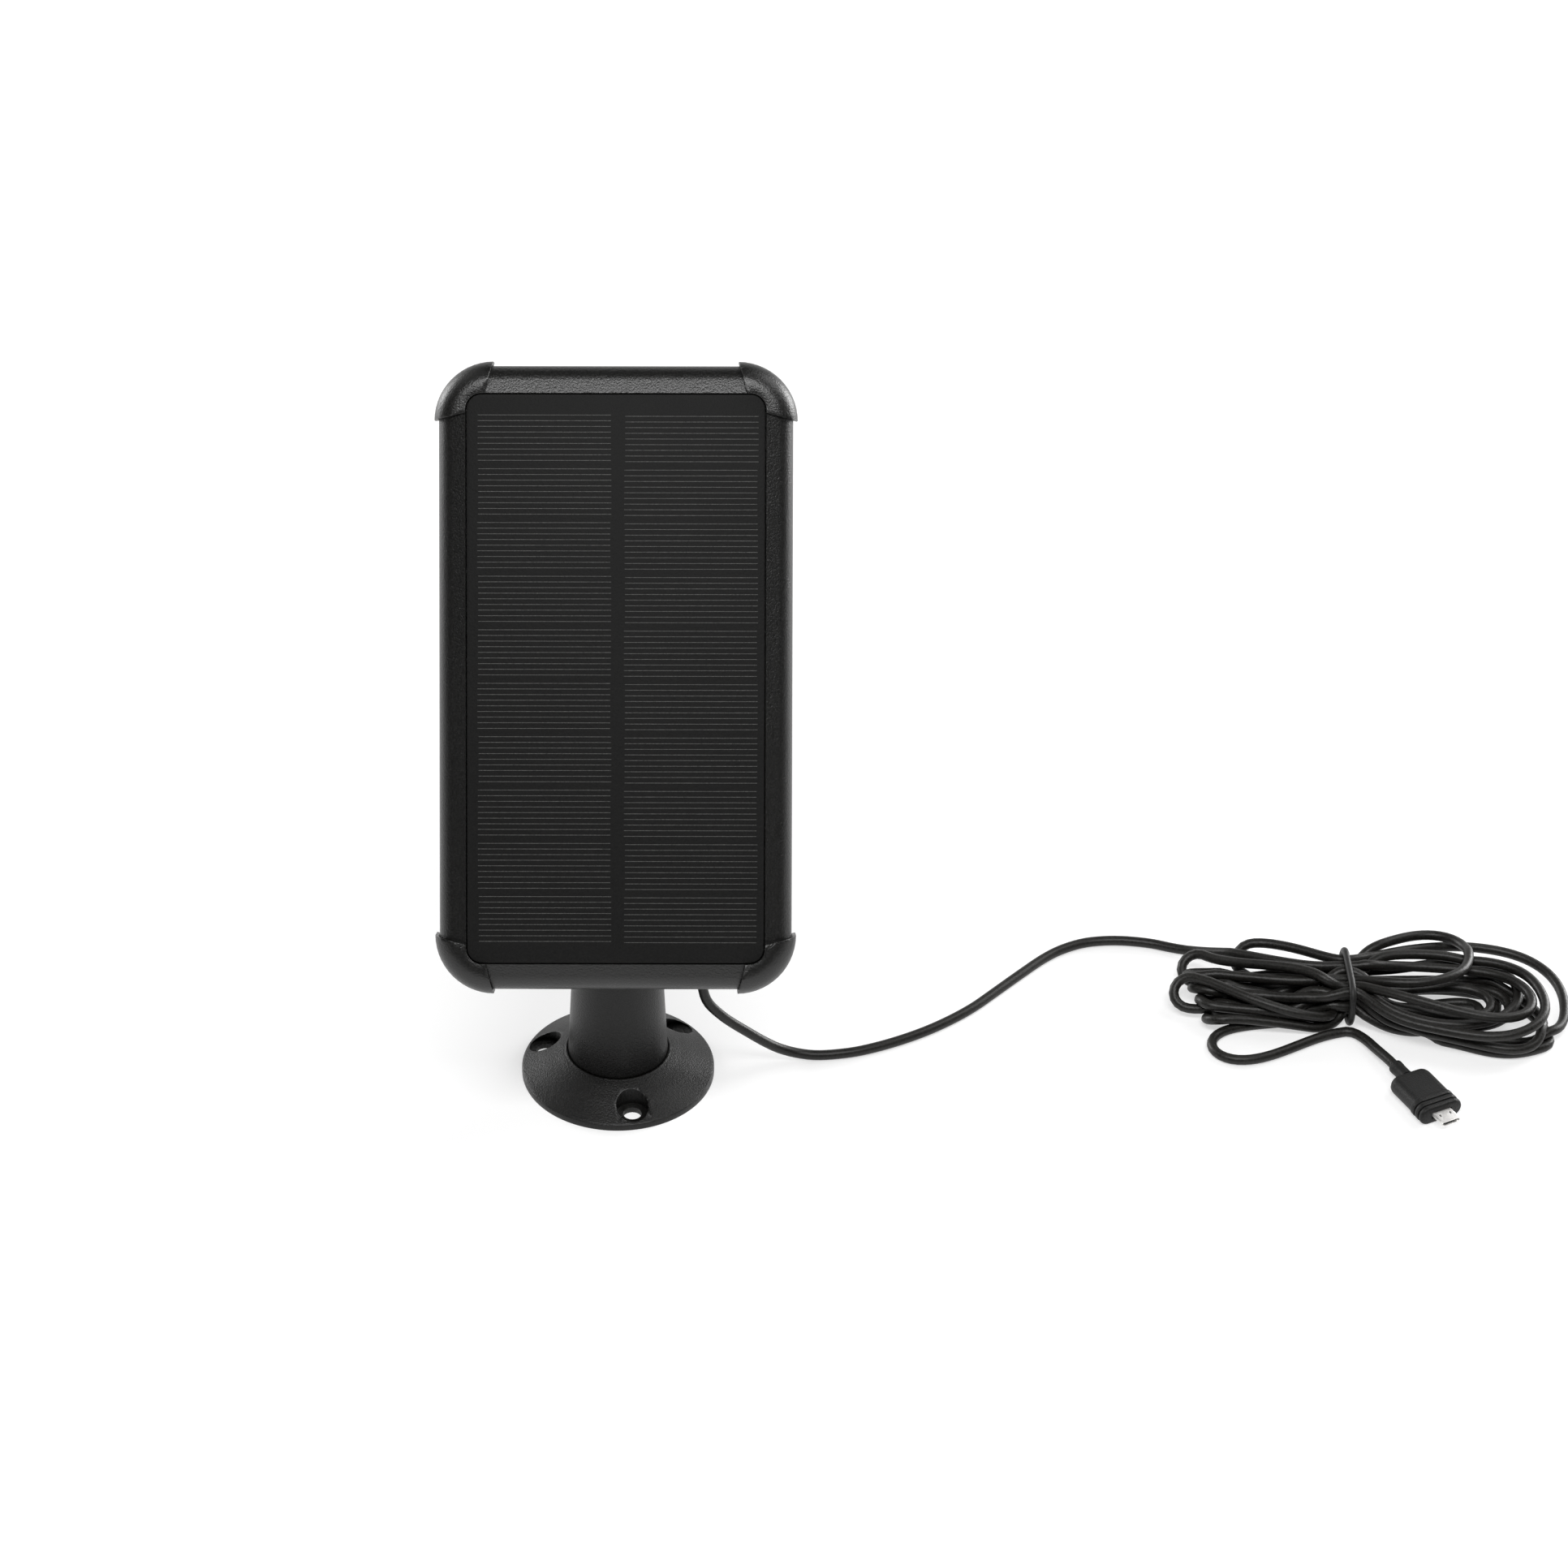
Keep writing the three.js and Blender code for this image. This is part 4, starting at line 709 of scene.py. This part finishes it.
def plug_relief():
    """The neck that takes the lead into the plug."""
    end = -NECK_LENGTH
    radius = 2.4
    profile = [
        (0, end), (radius - 0.55, end), (radius - 0.3, end + 0.12), (radius - 0.08, end + 0.4),
        (radius, end + 0.7), (radius, end + 2.0), (radius - 0.1, end + 2.6),
        (radius - 0.1, -1.6), (radius, -GAP - 0.2), (radius, -GAP), (0, -GAP),
    ]
    neck = lathe("plug_relief", profile, 40, PLUG)
    return finish_piece(neck, "post", "plug_moulding", plug_black, "plug_neck", angle=50)


def plug_contact_shell():
    """The folded metal shell, with its two latch openings."""
    low = PLUG_LENGTH - SHELL_BURIED + GAP
    high = PLUG_LENGTH + SHELL_LENGTH
    half = SHELL_THICKNESS / 2
    wide = SHELL_WIDTH / 2

    def outline(inset):
        top = half - inset
        side = wide - inset
        points = [(top, side - 0.35), (top - 0.12, side - 0.1), (top - 0.35, side), (-0.3, side),
                  (-half + inset + 0.12, side - 0.75), (-half + inset, side - 0.95)]
        return points + [(x, -y) for x, y in reversed(points)]

    shell = prism("plug_contact_shell", outline(0), low, high, PLUG)
    cuts = [prism("hollow", outline(0.28), low + 1, high + 1, PLUG)]
    for side in (-1, 1):
        window = [(0.2, side * 1.6), (2, side * 1.6), (2, side * 2.15), (0.2, side * 2.15)]
        cuts.append(prism("window", window, PLUG_LENGTH + 1.3, PLUG_LENGTH + 2.4, PLUG))
    combine(shell, cuts, "DIFFERENCE")
    soften(shell, 0.07, 50, 1)
    return finish_piece(shell, "post", "nickel", nickel, "plug_shell", angle=30)


# ------------------------------------------------------------------ panel
def screw_spots():
    """Places of the six screws that hold the rear housing on."""
    ends = OUTER[1] / 2 - 19.3
    side = OUTER[0] / 2 - 7.2
    return [(x, y) for x in (-side, side) for y in (-ends, 0, ends)]


def drum(name, radius, low, high, spot=(0, 0), segments=32, space=PANEL):
    """A plain round tool or boss between two heights."""
    outline = [(spot[0] + radius * math.cos(2 * math.pi * i / segments),
                spot[1] + radius * math.sin(2 * math.pi * i / segments)) for i in range(segments)]
    return prism(name, outline, low, high, space)


def frame_moulding():
    """The frame round the laminate: a sloped front facet that rolls over into the side wall."""
    ledge = 3.9
    under = ledge + 1.8
    shell = loft("frame_moulding", [
        panel_loop(0.15, PARTING_DEPTH), panel_loop(0, PARTING_DEPTH - 0.15), *rail_rounding(0),
        laminate_loop(GAP + 0.12, 0.03), laminate_loop(GAP, 0.15), laminate_loop(GAP, ledge),
        laminate_loop(-3, ledge), laminate_loop(-3, under), panel_loop(WALL, under),
        panel_loop(WALL, PARTING_DEPTH),
    ], True, PANEL)
    return finish_piece(shell, "panel", "black_plastic", rail_black, "front_frame", angle=32)


def corner_cap(row, column):
    """A shell over one corner, cut off along two slanted lines."""
    sx = -1 if column == "left" else 1
    sy = -1 if row == "bottom" else 1
    shell = loft(f"cap_{row}_{column}", [
        laminate_loop(GAP + 0.1, -GAP), laminate_loop(GAP, -GAP - 0.1), laminate_loop(GAP, -GAP - 0.3),
        laminate_loop(GAP + 0.12, -GAP - 0.42), *reversed(rail_rounding(CAP_PROUD, 14)),
        panel_loop(-CAP_PROUD, CAP_DEPTH - 0.3), panel_loop(-CAP_PROUD + 0.3, CAP_DEPTH),
        panel_loop(-GAP, CAP_DEPTH), *rail_rounding(GAP),
    ], True, PANEL)
    corner_x = OUTER[0] / 2 + CAP_PROUD
    corner_y = OUTER[1] / 2 + CAP_PROUD
    slope = CAP_SLANT / (RAIL_WIDTH + CAP_PROUD)
    inner = CAP_REACH / (1 + slope)
    far = 10
    outline = [(corner_x - inner, corner_y - inner), (corner_x + far, corner_y - CAP_REACH - slope * far),
               (corner_x + far, corner_y + far), (corner_x - CAP_REACH - slope * far, corner_y + far)]
    keep = prism("keep", [(sx * x, sy * y) for x, y in outline], -PANEL_DEPTH - 1, CAP_PROUD + 2, PANEL)
    combine(shell, [keep], "INTERSECT")
    soften(shell, 0.22, 45)
    return finish_piece(shell, "panel", "cap_plastic", cap_black, f"corner_cap_{row}_{column}", angle=30)


def back_moulding():
    """The rear housing: a tray with rounded back edges, screw wells, bosses and the gland's hole."""
    top = PARTING_DEPTH + GAP
    inside = PANEL_DEPTH - 2
    rounding = []
    for i in range(9):
        angle = i / 8 * math.pi / 2
        rounding.append(panel_loop(4 * (1 - math.sin(angle)), PANEL_DEPTH - 4 * (1 - math.cos(angle))))
    shell = loft("back_moulding", [
        *rounding, panel_loop(0, top + 0.15), panel_loop(0.15, top), panel_loop(WALL, top),
        panel_loop(WALL, inside - 1), panel_loop(WALL + 1, inside),
    ], False, PANEL)
    bosses = [drum("boss", 4, -inside - 0.5, -inside + 3, spot) for spot in screw_spots()]
    plate = [(x, y) for x in (-11, 11) for y in (-5.5 - PIVOT_TO_CENTRE, 20.5 - PIVOT_TO_CENTRE)]
    bosses += [drum("boss", 3.4, -inside - 0.5, -inside + 6, spot) for spot in plate]
    inner = loft("inner", [panel_loop(1, PANEL_DEPTH - 1.5), panel_loop(1, top)], False, PANEL)
    for boss in bosses[:6]:
        keep = inner.copy()
        keep.data = inner.data.copy()
        bpy.context.scene.collection.objects.link(keep)
        combine(boss, [keep], "INTERSECT")
    bpy.data.objects.remove(inner)
    combine(shell, bosses, "UNION")
    cuts = [drum("well", 2.9, -PANEL_DEPTH - 1, -PANEL_DEPTH + 2.1, spot) for spot in screw_spots()]
    cuts += [drum("hole", SCREW_BORE, -PANEL_DEPTH - 1, -top, spot, segments=20) for spot in screw_spots()]
    cuts += [drum("hole", SCREW_BORE, -PANEL_DEPTH - 1, -inside + 5, spot, segments=20) for spot in plate]
    cuts.append(drum("hole", 4, -PANEL_DEPTH - 1, -top, (GLAND_X, GLAND_UP - PIVOT_TO_CENTRE)))
    combine(shell, cuts, "DIFFERENCE")
    return finish_piece(shell, "panel", "black_plastic", rail_black, "rear_housing", angle=30)


def cover_film():
    """The matt film over the cells, with a small radius along its edge."""
    sheet = loft("cover_film", [
        laminate_loop(0, 1.0), laminate_loop(0, 0.25), laminate_loop(-0.07, 0.07), laminate_loop(-0.25, 0),
    ], False, PANEL)
    return finish_piece(sheet, "panel", "cover_film", cover_black, "pv_cover_sheet", angle=60)


def cell_lines():
    """The thin printed collector lines of the cells, in two columns."""
    cells = 10
    lines_per_cell = 9
    pitch = 1.716
    gap = 2.55
    half = 0.09
    rise = 0.012
    sunk = 0.2
    box = ((0, 1, 2, 3), (7, 6, 5, 4), (0, 4, 5, 1), (1, 5, 6, 2), (2, 6, 7, 3), (3, 7, 4, 0))
    points = []
    faces = []
    left = -LAMINATE[0] / 2 + 3.4
    right = LAMINATE[0] / 2 - 2.2
    column = (right - left - 4.2) / 2
    for number, start in enumerate((left, right - column)):
        for cell in range(cells):
            y = LAMINATE[1] / 2 - 6.3 - cell * ((lines_per_cell - 1) * pitch + gap) - 0.35 * number
            shift = 0.18 * math.sin(2.3 * cell + 1.7 * number)
            for line in range(lines_per_cell):
                first = len(points)
                for x in (start + shift, start + column + shift):
                    points += [(x, y - half, -sunk), (x, y + half, -sunk)]
                    points += [(x, y + half, rise), (x, y - half, rise)]
                faces += [[first + i for i in ring] for ring in box]
                y -= pitch
    lines = mesh_object("cell_lines", points, faces, PANEL)
    return finish_piece(lines, "panel", "silicon", line_grey)


def gland_sleeve():
    """The tapered rubber sleeve where the lead leaves the back of the panel."""
    back = -PANEL_DEPTH
    tip = back - 12
    bore = CORD_RADIUS + GAP
    profile = [
        (bore, tip), (3.0, tip), (3.25, tip + 0.15), (3.3, tip + 0.4), (3.45, tip + 2.2), (3.0, tip + 2.4),
        (3.0, tip + 3.1), (3.5, tip + 3.3), (3.65, tip + 5.0), (3.2, tip + 5.2), (3.2, tip + 5.9),
        (3.75, tip + 6.1), (4.7, back - GAP - 2.6), (5.3, back - GAP - 2.2), (5.5, back - GAP - 1.9),
        (5.5, back - GAP), (3.7, back - GAP), (3.7, -PARTING_DEPTH - 1), (bore, -PARTING_DEPTH - 1),
    ]
    spot = PANEL @ Matrix.Translation((GLAND_X, GLAND_UP - PIVOT_TO_CENTRE, 0))
    sleeve = lathe("gland_sleeve", profile, 48, spot)
    return finish_piece(sleeve, "panel", "rubber", rubber_black, "cable_gland", angle=40)


# ------------------------------------------------------------------ base and post
def flange():
    """The round base: a shallow cone between a rim and the post's socket, with three screw wells."""
    rim = 31
    screw_circle = 25
    first_screw = -79
    profile = [
        (8, 0), (rim - 0.3, 0), (rim - 0.08, 0.08), (rim, 0.3), (rim, 2.05), (rim - 0.06, 2.22),
        (rim - 0.22, 2.36), (rim - 0.9, 2.66), (24.2, 5.88), (21.6, 7.05), (19.6, 8.0), (18.4, 8.6),
        (17.3, 9.1), (17.05, 9.2), (16.8, 9.39), (16.5, 9.4), (16.27, 9.33), (16.2, 9.15), (16.2, 8.7),
        (16.6, 8.3), (16.6, 5.8),
        (2.8, 5.8), (2.8, 3.8), (8, 3.8),
    ]
    base = lathe("flange", profile, 128)
    cuts = []
    for i in range(3):
        angle = math.radians(first_screw + 120 * i)
        spot = (screw_circle * math.cos(angle), screw_circle * math.sin(angle))
        cuts.append(drum("well", 5.15, 2, 12, spot, 48, WORLD))
        cuts.append(drum("hole", 2.95, -1, 3, spot, 40, WORLD))
    combine(base, cuts, "DIFFERENCE")
    soften(base, 0.16, 28)
    return finish_piece(base, "base", "black_plastic", housing_black, "base_flange", angle=30)


def ear(side):
    """One of the post's two ears: a plate with a round top, centred on the tilt axis."""
    radius = 8
    low = EAR_ROOT - PIVOT.z
    outline = [(-radius, low), (radius, low)]
    turns = [math.pi * i / 24 for i in range(25)]
    outline += [(radius * math.cos(turn), radius * math.sin(turn)) for turn in turns]
    start = EAR_INSIDE if side > 0 else -EAR_OUTSIDE
    turned = Matrix(((0, 0, 1, 0), (1, 0, 0, 0), (0, 1, 0, 0), (0, 0, 0, 1)))
    return prism("ear", outline, start, start + 5, Matrix.Translation(PIVOT) @ turned)


def across_pivot():
    """Along the tilt axis, to the right."""
    return Matrix.Translation(PIVOT) @ Matrix.Rotation(math.pi / 2, 4, "Y")


def column():
    """The tapered post, with a shoulder under its two ears."""
    post = lathe("column", [
        (0, 6.1), (15.85, 6.1), (16.07, 6.2), (16.15, 6.4), (14.12, 48.2), (14.08, 49.2), (13.9, 50.1),
        (13.5, 50.9), (12.8, 51.7), (11.8, 52.3), (10.4, 52.7), (0, 53),
    ], 96)
    combine(post, [ear(-1), ear(1)], "UNION")
    across = across_pivot()
    cuts = [drum("bore", BOLT_BORE, -EAR_OUTSIDE - 1, EAR_OUTSIDE + 1, space=across),
            prism("pocket", hexagon(), -EAR_OUTSIDE - 1, -EAR_OUTSIDE + 2.2, across),
            drum("hole", 2.3, 5, 19, segments=24, space=WORLD)]
    combine(post, cuts, "DIFFERENCE")
    soften(post, 0.3, 40)
    return finish_piece(post, "post", "black_plastic", housing_black, "mount_post", angle=30)


def knob_grip():
    """The lobed clamp knob on the post's right side."""
    across = across_pivot()
    low = EAR_OUTSIDE + GAP
    around = 120
    lobes = 6
    loops = []
    for along, inset in ((0, 0.5), (0.15, 0.2), (0.5, 0), (7.7, 0), (8.3, 0.25), (8.6, 0.8)):
        loop = []
        for i in range(around):
            angle = 2 * math.pi * i / around
            radius = 8.5 - inset - 0.45 + 0.45 * math.cos(lobes * angle)
            loop.append((radius * math.cos(angle), radius * math.sin(angle), low + along))
        loops.append(loop)
    grip = loft("knob_grip", loops, False, across)
    cuts = [drum("bore", BOLT_BORE, low - 1, low + 9, space=across),
            prism("socket", hexagon(), low + 3, low + 10, across)]
    combine(grip, cuts, "DIFFERENCE")
    return finish_piece(grip, "knob", "black_plastic", housing_black, "clamp_knob", angle=35)


# ------------------------------------------------------------------ smaller CAD pieces, with eased edges
def eased(node, body, slot, material, width):
    """A copy of a CAD piece with flat faces cleaned up and its sharp edges rounded off a little."""
    angle = 30
    source = frame["nodes"][node]
    obj = bpy.data.objects.new(f"{node}_eased", source.data.copy())
    bpy.context.scene.collection.objects.link(obj)
    mesh = bmesh.new()
    mesh.from_mesh(obj.data)
    bmesh.ops.remove_doubles(mesh, verts=mesh.verts, dist=1e-7)
    bmesh.ops.dissolve_limit(mesh, angle_limit=math.radians(1), verts=mesh.verts, edges=mesh.edges)
    mesh.to_mesh(obj.data)
    mesh.free()
    soften(obj, width, angle)
    return finish_piece(obj, body, slot, material, node, angle=angle)


hank_tie()
plug_moulding()
plug_relief()
plug_contact_shell()
frame_moulding()
for row in ("top", "bottom"):
    for column_side in ("left", "right"):
        corner_cap(row, column_side)
back_moulding()
cover_film()
cell_lines()
gland_sleeve()
flange()
column()
knob_grip()
eased("tilt_bracket", "panel", "black_plastic", housing_black, 0.35)
eased("clamp_bolt", "knob", "steel", zinc, 0.2)
eased("clamp_nut", "post", "steel", zinc, 0.2)
eased("charge_board", "panel", "glass_fibre", board_green, 0.1)
eased("output_terminal", "panel", "nylon", nylon_white, 0.25)

KEPT = {
    zinc: ["pivot_washer", "pivot_screw"] + [f"bracket_screw_{i}" for i in range(1, 5)]
          + [f"housing_screw_{i}" for i in range(1, 7)] + ["board_screw_1", "board_screw_2"],
    nylon_white: ["friction_washer_left", "friction_washer_right", "gland_nut"],
    rubber_black: ["pivot_cover", "housing_gasket", "negative_wire"],
    board_green: ["pv_backing_board"],
    cell_blue: ["cell_string_left", "cell_string_right"],
    component_black: ["inductor", "regulator_chip", "blocking_diode"],
    can_metal: ["smoothing_capacitor"],
    red_skin: ["positive_wire"],
    jacket: ["inner_lead"],
    plug_black: ["plug_tongue"],
}
for material, names in KEPT.items():
    for name in names:
        piece = frame["nodes"][name]
        shade(piece, 35)
        piece.data.materials.clear()
        piece.data.materials.append(material)


# ------------------------------------------------------------------ stage and light
def make_stage():
    """The white floor, lit partly by its own emission."""
    reach = 40  # in metres
    corners = [(-reach, -reach, 0), (reach, -reach, 0), (reach, reach, 0), (-reach, reach, 0)]
    mesh = bpy.data.meshes.new("floor")
    mesh.from_pydata(corners, [], [(0, 1, 2, 3)])
    floor = bpy.data.objects.new("floor", mesh)
    bpy.context.scene.collection.objects.link(floor)
    material, _, _, shader = new_material("floor_white")
    shader.inputs["Base Color"].default_value = (0.5, 0.5, 0.5, 1)
    shader.inputs["Roughness"].default_value = 0.9
    shader.inputs["Specular IOR Level"].default_value = 0
    shader.inputs["Emission Color"].default_value = (1, 1, 1, 1)
    shader.inputs["Emission Strength"].default_value = 0.57
    floor.data.materials.append(material)


def soft_box(name, place, towards, width, height, radiance):
    """An area light of a given brightness, facing a point."""
    data = bpy.data.lights.new(name, "AREA")
    data.shape = "RECTANGLE"
    data.size = width
    data.size_y = height
    data.energy = radiance * math.pi * width * height
    light = bpy.data.objects.new(name, data)
    light.location = place
    light.visible_camera = False
    light.rotation_euler = (Vector(towards) - Vector(place)).to_track_quat("-Z", "Y").to_euler()
    bpy.context.scene.collection.objects.link(light)


def make_light():
    """Six soft boxes round the object and a nearly dark world; places are in metres."""
    world = bpy.data.worlds.new("studio")
    bpy.context.scene.world = world
    world.use_nodes = True
    background = world.node_tree.nodes["Background"]
    background.inputs["Color"].default_value = (1, 1, 1, 1)
    background.inputs["Strength"].default_value = 0.01
    middle = (0.08, 0.03, 0.08)
    soft_box("key", (0.08, -0.72, 1.35), middle, 1.1, 0.42, 11.5)
    soft_box("above_left", (-0.75, 0.45, 1.25), middle, 0.8, 0.7, 0.6)
    soft_box("above_right", (0.95, 0.45, 1.25), middle, 0.8, 0.7, 3.0)
    soft_box("rim_left", (-1.15, 0.85, 0.4), middle, 0.7, 0.7, 8.0)
    soft_box("rim_right", (1.3, 0.85, 0.4), middle, 0.7, 0.7, 13.0)
    soft_box("backdrop", (0.1, 2.0, 0.8), (0.1, 0, 0.5), 5.0, 1.6, 0.7)
    bpy.context.scene.view_settings.view_transform = "Standard"


make_stage()
make_light()
